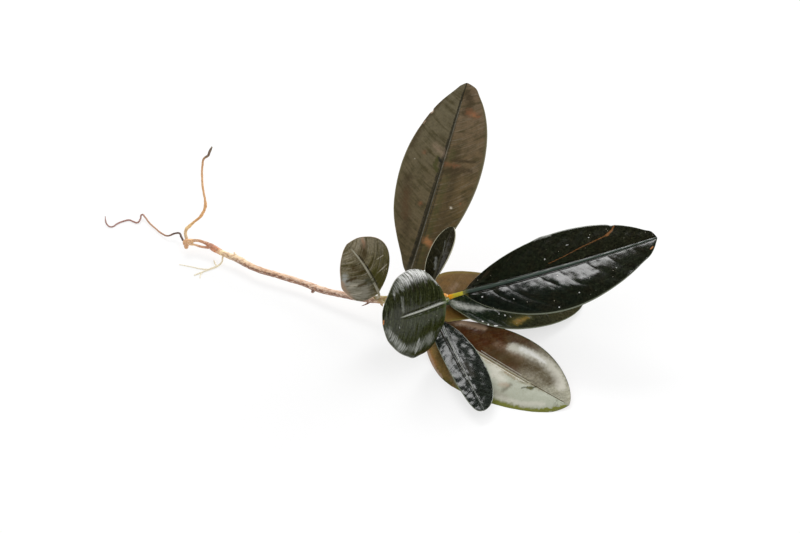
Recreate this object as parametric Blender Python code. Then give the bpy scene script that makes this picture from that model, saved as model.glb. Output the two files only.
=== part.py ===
"""A bucephalandra, a small water plant, lying loose on a flat surface: creeping stem, roots and nine leaves.

Lengths are in metres, angles in degrees. Every place is counted from the crown, the end of the stem
where most of the leaves sit, so the constant CROWN alone sets the whole plant over the origin.
"""

from dataclasses import dataclass
from math import cos, pi, radians, sin

import bmesh
import bpy
from mathutils import Matrix, Vector

MM = 0.001


def mm(x, y, z):
    """A place or a direction stated in millimetres."""
    return Vector((x, y, z)) * MM


PLANT = "bucephalandra"
CROWN = mm(22.9, -6.2, 9.0)

# The leaves' blades and stalks.
BLADE_THICKNESS = 0.55 * MM
TIP_THICKNESS = 0.30 * MM
TIP_RADIUS = 0.15 * MM
MIDRIB_HEIGHT = 0.30 * MM
STALK_RADIUS = 0.60 * MM
STALK_START_RADIUS = 0.35 * MM
STALK_START_SHARE = 0.35
STALK_REACH = 0.5
STALK_TO_BLADE = 0.10

# The stem and the roots.
STEM_RADIUS = 1.0 * MM
STANDING_ROOT_RADIUS = 0.36 * MM
TRAILING_ROOT_RADIUS = 0.27 * MM
ROOTLET_RADIUS = 0.20 * MM

# How finely the shapes are divided.
STALK_STEPS = 5
BLADE_STEPS = 19
FINE_STEPS = 152
STATION_CROWDING = 0.6
LEAF_CORNERS = 12
MIDRIB_CORNER_SHARE = 0.01
ROUND_SIDES = 2
STEPS_PER_POINT = 3
FINE_STEPS_PER_POINT = 2
CAP_WELD = 0.00001 * MM

BRONZE = (0.075, 0.050, 0.022)
BLACK_GREEN = (0.012, 0.020, 0.008)
DARK_GREEN = (0.018, 0.032, 0.014)
RED_BROWN = (0.095, 0.045, 0.025)
OLIVE_BROWN = (0.060, 0.055, 0.025)
BACK_BROWN = (0.120, 0.075, 0.025)
STEM_TAN = (0.300, 0.170, 0.070)
ROOT_ORANGE = (0.450, 0.210, 0.060)
ROOT_BROWN = (0.160, 0.090, 0.050)
ROOTLET_CREAM = (0.750, 0.660, 0.450)
MATTE = 0.55
GLOSSY = 0.25


@dataclass
class Margin:
    """One half of a blade: its greatest width, and how it widens from the stalk and narrows to the tip."""

    width: float
    rise: float
    fall: float

    def at(self, along):
        """The half's width at a share of the blade's length."""
        if not 0 < along < 1:
            return 0.0
        widest = self.rise / (self.rise + self.fall)
        most = widest**self.rise * (1 - widest) ** self.fall
        return self.width * along**self.rise * (1 - along) ** self.fall / most


@dataclass
class Leaf:
    """A leaf in one piece with its stalk.

    The stalk leaves the stem at joint and bends into the blade at base. There the blade heads off
    anticlockwise from +X, climbing above the horizontal and rolled about its own line. Over its length it
    droops away from its upper face and sways to its right. Each half leaves the midrib at the fold angle,
    which changes by arch on the way to the margin.
    """

    name: str
    joint: Vector
    base: Vector
    heading: float
    climb: float
    roll: float
    blade: float
    left: Margin
    right: Margin
    droop: float
    sway: float
    fold: float
    arch: float
    colour: tuple
    roughness: float


LEAVES = (
    Leaf(
        name="leaf_tall",
        joint=mm(-11.2, 1.0, 1.1),
        base=mm(-10.1, 4.5, 5.4),
        heading=64.7,
        climb=46.7,
        roll=-2.4,
        blade=61.0 * MM,
        left=Margin(width=12.8 * MM, rise=0.91, fall=0.88),
        right=Margin(width=13.0 * MM, rise=0.82, fall=0.66),
        droop=9.6,
        sway=-4.3,
        fold=7,
        arch=-9,
        colour=BRONZE,
        roughness=MATTE,
    ),
    Leaf(
        name="leaf_right",
        joint=mm(2.2, 0.1, 0.4),
        base=mm(6.1, 0.2, 1.8),
        heading=0.0,
        climb=17.7,
        roll=16.2,
        blade=60.1 * MM,
        left=Margin(width=12.3 * MM, rise=0.79, fall=0.73),
        right=Margin(width=15.4 * MM, rise=0.85, fall=0.84),
        droop=-6.0,
        sway=-1.7,
        fold=9,
        arch=-15,
        colour=BLACK_GREEN,
        roughness=GLOSSY,
    ),
    Leaf(
        name="leaf_right_lower",
        joint=mm(0.2, -0.4, -1.5),
        base=mm(1.7, -0.3, -1.7),
        heading=6.6,
        climb=-11.83,
        roll=1.4,
        blade=43.4 * MM,
        left=Margin(width=11.6 * MM, rise=0.70, fall=0.50),
        right=Margin(width=11.4 * MM, rise=0.57, fall=0.67),
        droop=-4.2,
        sway=-12.8,
        fold=9,
        arch=-9,
        colour=DARK_GREEN,
        roughness=GLOSSY,
    ),
    Leaf(
        name="leaf_front_broad",
        joint=mm(-7.2, -1.2, -1.9),
        base=mm(-4.4, -4.3, -5.2),
        heading=-43.0,
        climb=-2.9,
        roll=8.6,
        blade=52.2 * MM,
        left=Margin(width=12.6 * MM, rise=0.88, fall=0.69),
        right=Margin(width=15.4 * MM, rise=0.73, fall=0.74),
        droop=1.9,
        sway=-6.6,
        fold=7,
        arch=-11,
        colour=RED_BROWN,
        roughness=GLOSSY,
    ),
    Leaf(
        name="leaf_front_narrow",
        joint=mm(-2.0, -1.3, -1.3),
        base=mm(-1.1, -6.1, -3.9),
        heading=-73.0,
        climb=-1.1,
        roll=-2.0,
        blade=37.8 * MM,
        left=Margin(width=7.2 * MM, rise=0.82, fall=0.58),
        right=Margin(width=4.2 * MM, rise=0.15, fall=0.24),
        droop=4.4,
        sway=-3.6,
        fold=6,
        arch=-10,
        colour=BLACK_GREEN,
        roughness=GLOSSY,
    ),
    Leaf(
        name="leaf_round_front",
        joint=mm(0.4, -1.5, 1.0),
        base=mm(0.3, -7.0, 4.65),
        heading=-128.1,
        climb=19.1,
        roll=-67.9,
        blade=29.5 * MM,
        left=Margin(width=13.7 * MM, rise=0.49, fall=0.67),
        right=Margin(width=12.7 * MM, rise=0.53, fall=0.61),
        droop=3.7,
        sway=4.9,
        fold=3,
        arch=-15,
        colour=BLACK_GREEN,
        roughness=GLOSSY,
    ),
    Leaf(
        name="leaf_round_side",
        joint=mm(-19.9, 1.4, -1.0),
        base=mm(-19.4, -0.3, 2.4),
        heading=176.5,
        climb=73.0,
        roll=-45.0,
        blade=20.6 * MM,
        left=Margin(width=9.3 * MM, rise=0.38, fall=0.52),
        right=Margin(width=9.5 * MM, rise=0.86, fall=0.78),
        droop=11.4,
        sway=-14.3,
        fold=5,
        arch=-12,
        colour=OLIVE_BROWN,
        roughness=MATTE,
    ),
    Leaf(
        name="leaf_young",
        joint=mm(-3.9, 0.1, 1.8),
        base=mm(-2.8, 1.6, 5.4),
        heading=60.0,
        climb=59.8,
        roll=-11.1,
        blade=17.5 * MM,
        left=Margin(width=4.4 * MM, rise=0.34, fall=0.59),
        right=Margin(width=3.7 * MM, rise=0.93, fall=0.51),
        droop=4.0,
        sway=8.1,
        fold=22,
        arch=-8,
        colour=BLACK_GREEN,
        roughness=GLOSSY,
    ),
    Leaf(
        name="leaf_back",
        joint=mm(-3.4, 1.0, -1.3),
        base=mm(-2.2, 2.0, -2.1),
        heading=18.0,
        climb=-15.9,
        roll=7.0,
        blade=31.5 * MM,
        left=Margin(width=11.0 * MM, rise=0.32, fall=0.69),
        right=Margin(width=9.8 * MM, rise=0.04, fall=0.56),
        droop=-8.5,
        sway=-10.5,
        fold=6,
        arch=-5,
        colour=BACK_BROWN,
        roughness=MATTE,
    ),
)

# Routes: (place, thickness as a share of the piece's radius).
STEM_ROUTE = (
    (mm(-80.3, 33.1, -5.6), 1.15), (mm(-79.3, 33.4, -5.5), 1.0), (mm(-77.5, 33.8, -5.3), 0.45),
    (mm(-74.7, 33.0, -5.4), 0.5), (mm(-71.7, 30.6, -5.6), 1.05), (mm(-68.3, 27.9, -5.7), 0.9),
    (mm(-64.1, 25.4, -5.7), 1.1), (mm(-57.6, 20.4, -5.6), 1.0), (mm(-50.0, 16.9, -5.6), 1.0),
    (mm(-42.7, 13.5, -5.6), 1.0), (mm(-37.4, 10.2, -5.3), 1.05), (mm(-31.7, 7.4, -4.7), 1.0),
    (mm(-25.0, 4.3, -3.7), 1.05), (mm(-20.4, 2.4, -2.6), 1.2), (mm(-15.3, 0.9, -1.4), 1.1),
    (mm(-10.2, -0.1, -0.5), 1.25), (mm(-5.1, -0.3, 0.0), 1.3), (mm(0.6, 0.0, 0.3), 1.15),
)
SECOND_STRAND = (
    (mm(-79.6, 32.7, -5.8), 0.4), (mm(-77.6, 32.2, -6.3), 0.35), (mm(-75.4, 31.1, -6.2), 0.35),
    (mm(-72.2, 30.7, -5.7), 0.5),
)
KNOT_STUB = ((mm(-80.2, 33.0, -5.8), 0.8), (mm(-80.3, 32.2, -6.7), 0.6), (mm(-80.4, 31.8, -7.2), 0.4))
STEM_THORN = ((mm(-64.4, 25.6, -5.6), 0.5), (mm(-63.9, 26.4, -4.4), 0.35), (mm(-63.5, 27.0, -3.7), 0.15))
NODE_ROOTLETS = (
    ((mm(-21.4, 2.8, -3.0), 0.4), (mm(-22.3, 2.6, -4.6), 0.25), (mm(-24.2, 2.3, -6.1), 0.12)),
    ((mm(-20.3, 2.4, -3.0), 0.4), (mm(-20.4, 2.0, -4.6), 0.3), (mm(-20.9, 1.4, -6.3), 0.12)),
    ((mm(-18.6, 1.9, -2.6), 0.35), (mm(-18.2, 1.6, -4.0), 0.2), (mm(-18.4, 0.8, -5.2), 0.1)),
)
STANDING_ROOT = (
    (mm(-80.4, 35.0, -5.2), 1.5), (mm(-80.7, 36.2, -3.9), 1.45), (mm(-80.0, 37.3, -2.7), 1.5),
    (mm(-78.0, 38.4, -1.5), 1.15), (mm(-75.8, 39.6, -0.1), 1.0), (mm(-74.4, 41.4, 2.0), 1.05),
    (mm(-74.6, 43.2, 3.9), 1.0), (mm(-75.2, 45.4, 6.3), 1.0), (mm(-75.5, 47.8, 9.0), 0.95),
    (mm(-75.4, 50.2, 11.7), 0.95), (mm(-74.9, 51.8, 13.5), 1.0), (mm(-73.7, 52.4, 14.1), 1.1),
    (mm(-73.1, 53.3, 15.2), 0.9), (mm(-72.5, 54.2, 16.1), 0.4),
)
TRAILING_ROOT = (
    (mm(-81.5, 34.5, -5.7), 1.3), (mm(-82.2, 36.3, -5.8), 1.3), (mm(-83.1, 38.7, -6.3), 1.2),
    (mm(-84.6, 39.4, -7.0), 1.1), (mm(-86.7, 39.1, -7.7), 1.0), (mm(-88.9, 40.8, -8.2), 1.0),
    (mm(-91.2, 43.6, -8.4), 1.0), (mm(-93.5, 46.3, -8.2), 1.0), (mm(-95.2, 48.9, -7.8), 1.0),
    (mm(-96.2, 49.9, -7.7), 1.0), (mm(-96.6, 48.3, -8.2), 1.0), (mm(-97.4, 47.0, -8.6), 1.0),
    (mm(-98.8, 47.6, -8.73), 1.0), (mm(-100.2, 48.4, -8.73), 1.0), (mm(-101.9, 47.9, -8.73), 1.0),
    (mm(-103.8, 46.6, -8.73), 1.0), (mm(-105.7, 44.9, -8.73), 0.9), (mm(-107.0, 45.8, -8.6), 0.85),
    (mm(-107.7, 47.4, -8.3), 0.8), (mm(-108.0, 49.2, -7.9), 0.5),
)
MAIN_ROOTLET = (
    (mm(-68.6, 26.6, -6.7), 1.0), (mm(-68.6, 26.3, -7.6), 1.0), (mm(-69.3, 25.9, -8.4), 1.0),
    (mm(-70.6, 24.9, -8.71), 1.25), (mm(-72.4, 23.8, -8.73), 1.25), (mm(-74.1, 22.8, -8.79), 1.0),
    (mm(-76.9, 21.0, -8.8), 0.9),
)
SIDE_ROOTLETS = (
    ((mm(-72.6, 23.7, -8.75), 0.9), (mm(-75.0, 24.0, -8.8), 0.8), (mm(-78.0, 25.0, -8.84), 0.75),
     (mm(-82.0, 26.2, -8.86), 0.6)),
    ((mm(-70.3, 25.2, -8.7), 0.9), (mm(-70.9, 26.5, -8.8), 0.8), (mm(-71.4, 28.2, -8.86), 0.6)),
    ((mm(-74.3, 22.7, -8.8), 0.9), (mm(-75.0, 21.4, -8.82), 0.75), (mm(-75.1, 19.7, -8.86), 0.6)),
)


def turn(axis, degrees):
    """A rotation about an axis."""
    return Matrix.Rotation(radians(degrees), 3, axis)


def smooth(share):
    """An even start and an even end between 0 and 1."""
    share = min(max(share, 0.0), 1.0)
    return share * share * (3 - 2 * share)


def blade_line(leaf, steps):
    """The blade's midrib as (place, forward, upward, share of the blade's length) at each step."""
    heading = radians(leaf.heading)
    climb = radians(leaf.climb)
    forward = Vector((cos(climb) * cos(heading), cos(climb) * sin(heading), sin(climb)))
    unrolled = Vector((-sin(climb) * cos(heading), -sin(climb) * sin(heading), cos(climb)))
    upward = turn(forward, leaf.roll) @ unrolled
    place = CROWN + leaf.base
    line = [(place.copy(), forward.copy(), upward.copy(), 0.0)]
    for step in range(1, steps + 1):
        bending = turn(forward.cross(upward), -leaf.droop / steps) @ turn(upward, -leaf.sway / steps)
        after = (bending @ forward).normalized()
        place = place + (forward + after).normalized() * leaf.blade / steps
        upward = bending @ upward
        upward = (upward - after * after.dot(upward)).normalized()
        forward = after
        line.append((place.copy(), forward.copy(), upward.copy(), step / steps))
    return line


def stalk_line(leaf, first):
    """The stalk's middle, bending from the stem into the blade's first station, as shares from -1 to 0."""
    base, forward, upward, _ = first
    joint = CROWN + leaf.joint
    bend = base - forward * (base - joint).length * STALK_REACH
    line = []
    for step in range(STALK_STEPS):
        share = step / STALK_STEPS
        place = joint * (1 - share) ** 2 + bend * 2 * share * (1 - share) + base * share**2
        along = ((bend - joint) * (1 - share) + (base - bend) * share).normalized()
        line.append((place, along, (upward - along * along.dot(upward)).normalized(), share - 1))
    return line


def leaf_stations(leaf):
    """The stations along a leaf, closer together where the stalk opens into the blade and at the tip."""
    fine = blade_line(leaf, FINE_STEPS)
    stations = stalk_line(leaf, fine[0])
    for step in range(BLADE_STEPS + 1):
        share = step / BLADE_STEPS
        crowded = share - STATION_CROWDING * sin(2 * pi * share) / (2 * pi)
        stations.append(fine[round(crowded * FINE_STEPS)])
    return stations


def across_half(leaf, width, share):
    """How far out and up a point lies, at a share of one half's width, on the arc that the half follows."""
    start = radians(leaf.fold)
    turned = radians(leaf.arch)
    angle = start + turned * share
    return width * (sin(angle) - sin(start)) / turned, width * (cos(start) - cos(angle)) / turned


def leaf_ring(leaf, station):
    """The corners of the leaf's section at one station: round on the stalk, and thin and folded past it."""
    place, forward, upward, along = station
    sideways = forward.cross(upward)
    opened = smooth(along / STALK_TO_BLADE)
    started = smooth((along + 1) / STALK_START_SHARE)
    stalk_radius = STALK_START_RADIUS + (STALK_RADIUS - STALK_START_RADIUS) * started
    edge = stalk_radius + (TIP_RADIUS - stalk_radius) * smooth(along)
    blade = BLADE_THICKNESS + (TIP_THICKNESS - BLADE_THICKNESS) * max(along, 0)
    half_thickness = stalk_radius + (blade / 2 - stalk_radius) * opened
    ridge = MIDRIB_HEIGHT * opened * (1 - along)
    ring = []
    for corner in range(LEAF_CORNERS):
        angle = 2 * pi * corner / LEAF_CORNERS
        side = 1 if cos(angle) > 0 else -1
        share = abs(cos(angle))
        margin = leaf.right if side > 0 else leaf.left
        out, up = across_half(leaf, max(margin.at(along), edge), share)
        up = up * opened + half_thickness * sin(angle)
        if share < MIDRIB_CORNER_SHARE:
            up += ridge if sin(angle) > 0 else -ridge
        ring.append(place + sideways * out * side + upward * up)
    return ring


def finish(name, colour, roughness):
    """A plain material of one colour."""
    material = bpy.data.materials.new(name)
    material.use_nodes = True
    shader = material.node_tree.nodes["Principled BSDF"]
    shader.inputs["Base Color"].default_value = (*colour, 1)
    shader.inputs["Roughness"].default_value = roughness
    shader.inputs["Metallic"].default_value = 0
    return material


def dress(piece, colour, roughness):
    """Gives a piece a material of its own and smooth shading."""
    piece.data.materials.clear()
    piece.data.materials.append(finish(piece.name, colour, roughness))
    if piece.type == "MESH":
        piece.data.shade_smooth()


def make_leaf(leaf, collection):
    """Lofts a leaf through its rings, and closes both ends."""
    shape = bmesh.new()
    stations = leaf_stations(leaf)
    rings = [[shape.verts.new(corner) for corner in leaf_ring(leaf, station)] for station in stations]
    for near, far in zip(rings, rings[1:]):
        for corner in range(LEAF_CORNERS):
            after = (corner + 1) % LEAF_CORNERS
            shape.faces.new((near[corner], near[after], far[after], far[corner]))
    shape.faces.new(rings[0])
    shape.faces.new(rings[-1])
    bmesh.ops.recalc_face_normals(shape, faces=shape.faces)
    mesh = bpy.data.meshes.new(leaf.name)
    shape.to_mesh(mesh)
    shape.free()
    piece = bpy.data.objects.new(leaf.name, mesh)
    collection.objects.link(piece)
    return piece


def make_tube(name, route, radius, collection, steps=STEPS_PER_POINT):
    """A round tube with closed ends along a smooth curve through the route's places."""
    curve = bpy.data.curves.new(name, "CURVE")
    curve.dimensions = "3D"
    curve.bevel_depth = radius
    curve.bevel_resolution = ROUND_SIDES
    curve.resolution_u = steps
    curve.use_fill_caps = True
    spline = curve.splines.new("BEZIER")
    spline.bezier_points.add(len(route) - 1)
    for point, (place, thickness) in zip(spline.bezier_points, route):
        point.co = CROWN + place
        point.radius = thickness
        point.handle_left_type = "AUTO"
        point.handle_right_type = "AUTO"
    piece = bpy.data.objects.new(name, curve)
    collection.objects.link(piece)
    return piece


def make_solid(tube, collection):
    """The same tube as a closed mesh, in place of the curve."""
    bpy.context.view_layer.update()
    evaluated = tube.evaluated_get(bpy.context.evaluated_depsgraph_get())
    mesh = bpy.data.meshes.new_from_object(evaluated)
    shape = bmesh.new()
    shape.from_mesh(mesh)
    bmesh.ops.remove_doubles(shape, verts=shape.verts, dist=CAP_WELD)
    bmesh.ops.recalc_face_normals(shape, faces=shape.faces)
    shape.to_mesh(mesh)
    shape.free()
    name = tube.name
    piece = bpy.data.objects.new(name, mesh)
    piece.matrix_world = tube.matrix_world
    bpy.data.objects.remove(tube, do_unlink=True)
    piece.name = name
    collection.objects.link(piece)
    return piece


def make_joined(name, main_route, side_routes, radius, plant, helpers, steps=STEPS_PER_POINT):
    """A tube with its side tubes grown into it, as one body."""
    piece = make_solid(make_tube(name, main_route, radius, plant, steps), plant)
    for number, route in enumerate(side_routes, 1):
        side = make_solid(make_tube(f"{name}_side_{number}", route, radius, helpers, steps), helpers)
        side.hide_render = True
        side.display_type = "WIRE"
        union = piece.modifiers.new(f"side {number}", "BOOLEAN")
        union.operation = "UNION"
        union.solver = "EXACT"
        union.object = side
    return piece


def make_stem(plant, helpers):
    """The creeping stem with its knot, second strand, thorn and the rootlets at the side leaf's node."""
    sides = (SECOND_STRAND, KNOT_STUB, STEM_THORN, *NODE_ROOTLETS)
    dress(make_joined("stem", STEM_ROUTE, sides, STEM_RADIUS, plant, helpers), STEM_TAN, MATTE)


def make_roots(plant, helpers):
    """The two long roots at the knot, and the fine rootlets that lie under the stem."""
    rootlets = make_joined(
        "rootlets", MAIN_ROOTLET, SIDE_ROOTLETS, ROOTLET_RADIUS, plant, helpers, FINE_STEPS_PER_POINT
    )
    dress(rootlets, ROOTLET_CREAM, MATTE)
    dress(make_tube("root_standing", STANDING_ROOT, STANDING_ROOT_RADIUS, plant), ROOT_ORANGE, MATTE)
    trailing = make_tube("root_trailing", TRAILING_ROOT, TRAILING_ROOT_RADIUS, plant, FINE_STEPS_PER_POINT)
    dress(trailing, ROOT_BROWN, MATTE)


def clear_scene():
    """Empties the scene."""
    for piece in list(bpy.data.objects):
        bpy.data.objects.remove(piece, do_unlink=True)


def main():
    """Builds the plant in its own collection, with the side tubes in another."""
    clear_scene()
    plant = bpy.data.collections.new(PLANT)
    helpers = bpy.data.collections.new("side_shapes")
    for collection in (plant, helpers):
        bpy.context.scene.collection.children.link(collection)
    make_stem(plant, helpers)
    make_roots(plant, helpers)
    for leaf in LEAVES:
        dress(make_leaf(leaf, plant), leaf.colour, leaf.roughness)


main()
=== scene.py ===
"""The looks of a bucephalandra lying on a pale surface: nine leaves, a creeping stem and its roots.

Sizes are in millimetres and angles in degrees unless a class says otherwise. Every place on the plant is
counted from the crown, the end of the stem where most of the leaves sit. A leaf has its own coordinates:
millimetres along its midrib from where the stalk opens, and millimetres across, negative on its left.
"""

import logging
from collections.abc import Iterable
from dataclasses import dataclass, replace
from enum import Enum
from math import cos, pi, radians, sin

import bpy
import numpy as np
from mathutils import Matrix, Vector, noise


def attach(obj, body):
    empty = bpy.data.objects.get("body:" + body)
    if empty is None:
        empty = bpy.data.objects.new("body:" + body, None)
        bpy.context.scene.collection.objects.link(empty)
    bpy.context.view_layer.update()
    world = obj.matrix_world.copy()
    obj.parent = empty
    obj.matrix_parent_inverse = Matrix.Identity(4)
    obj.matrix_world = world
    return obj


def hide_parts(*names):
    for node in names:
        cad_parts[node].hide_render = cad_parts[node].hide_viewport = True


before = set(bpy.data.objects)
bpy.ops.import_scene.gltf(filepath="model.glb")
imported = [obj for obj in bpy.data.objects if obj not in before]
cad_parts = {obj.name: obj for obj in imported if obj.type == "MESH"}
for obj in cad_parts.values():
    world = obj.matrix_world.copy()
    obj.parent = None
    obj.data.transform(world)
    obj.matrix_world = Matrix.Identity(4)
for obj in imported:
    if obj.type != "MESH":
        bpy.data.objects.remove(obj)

logging.basicConfig(level=logging.INFO, format="%(message)s")
log = logging.getLogger("bucephalandra")

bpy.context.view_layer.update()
BODY = "root"
MM = 0.001
CROWN = np.array((22.9, -6.2, 9.0))
TINY = 1e-9
SEARCH_BLOCKS = 64

Colour = tuple[float, float, float]
Place = tuple[float, float, float]
Route = tuple[tuple[Place, float], ...]


def smooth(share: np.ndarray) -> np.ndarray:
    """Eases shares in and out between 0 and 1."""
    share = np.clip(share, 0.0, 1.0)
    return share * share * (3 - 2 * share)


def rough(places: np.ndarray, scale: float, seed: float) -> np.ndarray:
    """Reads smooth noise at many places.

    Args:
        places: One row of two or three numbers for each place.
        scale: How many times the noise changes in one unit.
        seed: A shift that sets one noise apart from another.

    Returns:
        One value from about -1 to 1 for each place.
    """
    flat = np.zeros((len(places), 3))
    flat[:, : places.shape[1]] = places * scale
    flat[:, 2] += seed
    return np.array([noise.noise(row) for row in flat])


class Wire:
    """An output in a shader tree, so that sums on it are written as Python expressions."""

    def __init__(self, tree: "Tree", socket: bpy.types.NodeSocket) -> None:
        """Keeps the tree and the output."""
        self.tree = tree
        self.socket = socket

    def maths(self, operation: str, *values: "Wire | float") -> "Wire":
        """Adds a Math node for one operation on the values."""
        return self.tree.node("ShaderNodeMath", {"operation": operation}, dict(enumerate(values)))

    def __add__(self, other: "Wire | float") -> "Wire":
        """Gives self + other."""
        return self.maths("ADD", self, other)

    def __radd__(self, other: float) -> "Wire":
        """Gives other + self."""
        return self.maths("ADD", other, self)

    def __sub__(self, other: "Wire | float") -> "Wire":
        """Gives self - other."""
        return self.maths("SUBTRACT", self, other)

    def __rsub__(self, other: float) -> "Wire":
        """Gives other - self."""
        return self.maths("SUBTRACT", other, self)

    def __mul__(self, other: "Wire | float") -> "Wire":
        """Gives self * other."""
        return self.maths("MULTIPLY", self, other)

    def __rmul__(self, other: float) -> "Wire":
        """Gives other * self."""
        return self.maths("MULTIPLY", other, self)

    def __abs__(self) -> "Wire":
        """Gives the value without its sign."""
        return self.maths("ABSOLUTE", self)


class Tree:
    """The node tree of one material, ending in its Principled shader."""

    def __init__(self, name: str) -> None:
        """Makes the material.

        Args:
            name: The material's name.
        """
        self.material = bpy.data.materials.new(name)
        self.material.use_nodes = True
        self.nodes = self.material.node_tree.nodes
        self.links = self.material.node_tree.links
        self.shader = self.nodes["Principled BSDF"]

    def node(self, kind: str, settings: dict, sockets: dict, output: int | str = 0) -> Wire:
        """Adds a node.

        Args:
            kind: The node's type.
            settings: Its settings, which are set first. The key stops holds a ramp's stops.
            sockets: The values or links of its inputs, by name or number.
            output: The name or number of the output to give.

        Returns:
            That output.
        """
        made = self.nodes.new(kind)
        for key, value in settings.items():
            if key == "stops":
                self.set_stops(made.color_ramp.elements, value)
            else:
                setattr(made, key, value)
        for key, value in sockets.items():
            self.feed(made.inputs[key], value)
        return Wire(self, made.outputs[output])

    @staticmethod
    def set_stops(elements: bpy.types.ColorRampElements, stops: tuple) -> None:
        """Gives a ramp its stops.

        Args:
            elements: The ramp's own two stops.
            stops: A place and a colour for each stop, in order.
        """
        while len(elements) < len(stops):
            elements.new(1.0)
        for element, (place, colour) in zip(elements, stops):
            element.position = place
            element.color = (*colour, 1.0)

    def feed(self, socket: bpy.types.NodeSocket, value: "Wire | float | tuple") -> None:
        """Links a wire to an input, or sets the input to a constant.

        Args:
            socket: The input.
            value: The wire or the constant.
        """
        if isinstance(value, Wire):
            self.links.new(value.socket, socket)
        elif socket.type == "RGBA":
            socket.default_value = (*value, 1.0)
        else:
            socket.default_value = value

    def mix(self, share: Wire | float, first: "Wire | Colour", second: "Wire | Colour") -> Wire:
        """Goes from the first colour to the second as share goes from 0 to 1."""
        return self.node("ShaderNodeMix", {"data_type": "RGBA"}, {0: share, 6: first, 7: second}, 2)

    def shade(self, colour: "Wire | Colour", factor: Wire) -> Wire:
        """Multiplies a colour by a factor."""
        settings = {"data_type": "RGBA", "blend_type": "MULTIPLY"}
        return self.node("ShaderNodeMix", settings, {0: 1.0, 6: colour, 7: factor}, 2)

    def between(self, value: Wire, low: float, high: float) -> Wire:
        """Goes smoothly from 0 at low to 1 at high."""
        sockets = {"Value": value, "From Min": low, "From Max": high}
        return self.node("ShaderNodeMapRange", {"interpolation_type": "SMOOTHSTEP"}, sockets)

    def attribute(self, name: str, output: str = "Vector") -> Wire:
        """Reads one of the mesh's own attributes."""
        return self.node("ShaderNodeAttribute", {"attribute_name": name}, {}, output)

    def part(self, vector: Wire, axis: str) -> Wire:
        """Reads the X, Y or Z of a vector."""
        return self.node("ShaderNodeSeparateXYZ", {}, {"Vector": vector}, axis)

    def place(self, x: Wire | float, y: Wire | float, z: Wire | float = 0.0) -> Wire:
        """Puts three numbers together as a vector."""
        return self.node("ShaderNodeCombineXYZ", {}, {"X": x, "Y": y, "Z": z})

    def grain(self, vector: Wire, scale: float, detail: float = 3.0, roughness: float = 0.55) -> Wire:
        """Reads a noise texture's value, from 0 to 1 and mostly near a half."""
        sockets = {"Vector": vector, "Scale": scale, "Detail": detail, "Roughness": roughness}
        return self.node("ShaderNodeTexNoise", {}, sockets)

    def cells(self, vector: Wire, scale: float) -> Wire:
        """Reads how far a place is from the nearest of many scattered points."""
        return self.node("ShaderNodeTexVoronoi", {}, {"Vector": vector, "Scale": scale}, "Distance")

    def bump(self, height: Wire, depth: float, under: Wire | None = None) -> Wire:
        """Turns heights into a shading normal.

        Args:
            height: The height, from 0 to 1.
            depth: The real height in metres that 1 stands for.
            under: A coarser bump that this one lies on.

        Returns:
            The normal.
        """
        sockets = {"Height": height, "Distance": depth}
        if under is not None:
            sockets["Normal"] = under
        return self.node("ShaderNodeBump", {}, sockets)

    def finish(self, **sockets: "Wire | float | tuple") -> bpy.types.Material:
        """Sets the Principled shader's inputs.

        Args:
            sockets: The values or links of its inputs, with _ for a space in their names.

        Returns:
            The material.
        """
        for key, value in sockets.items():
            self.feed(self.shader.inputs[key.replace("_", " ")], value)
        return self.material


class Tint(Enum):
    """The colours of marks on the leaves."""

    # Some tints are the leaves' own colours; others are painted highlights, sheens, reflections and shade.
    RUST = (0.22, 0.085, 0.030)
    ORANGE = (0.42, 0.17, 0.055)
    SCAR = (0.22, 0.085, 0.018)
    EARTH = (0.060, 0.038, 0.010)
    OLIVE = (0.070, 0.066, 0.012)
    YELLOW = (0.32, 0.20, 0.035)
    MOSS = (0.030, 0.034, 0.008)
    DARK = (0.018, 0.016, 0.008)
    # pale: real specks and spots, and a painted highlight along some margins
    PALE_SPECK_AND_GLINT = (0.60, 0.55, 0.44)
    # pink: real pink spots, and a painted pink sheen on the broad front leaf
    PINK_SPOT_AND_SHEEN = (0.36, 0.25, 0.17)
    LIME = (0.165, 0.175, 0.034)
    # painted highlight: a hazy reflection
    HAZE_SHEEN = (0.31, 0.29, 0.23)
    # painted sheen: a misty wash of reflected light
    MIST_SHEEN = (0.37, 0.385, 0.305)
    # painted highlight: a silvery reflection
    SILVER_HIGHLIGHT = (0.38, 0.39, 0.36)
    SHEEN = (0.54, 0.52, 0.44)
    # white: real specks, and the brightest painted highlights
    WHITE_SPECK_AND_GLINT = (0.90, 0.90, 0.88)


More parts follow.
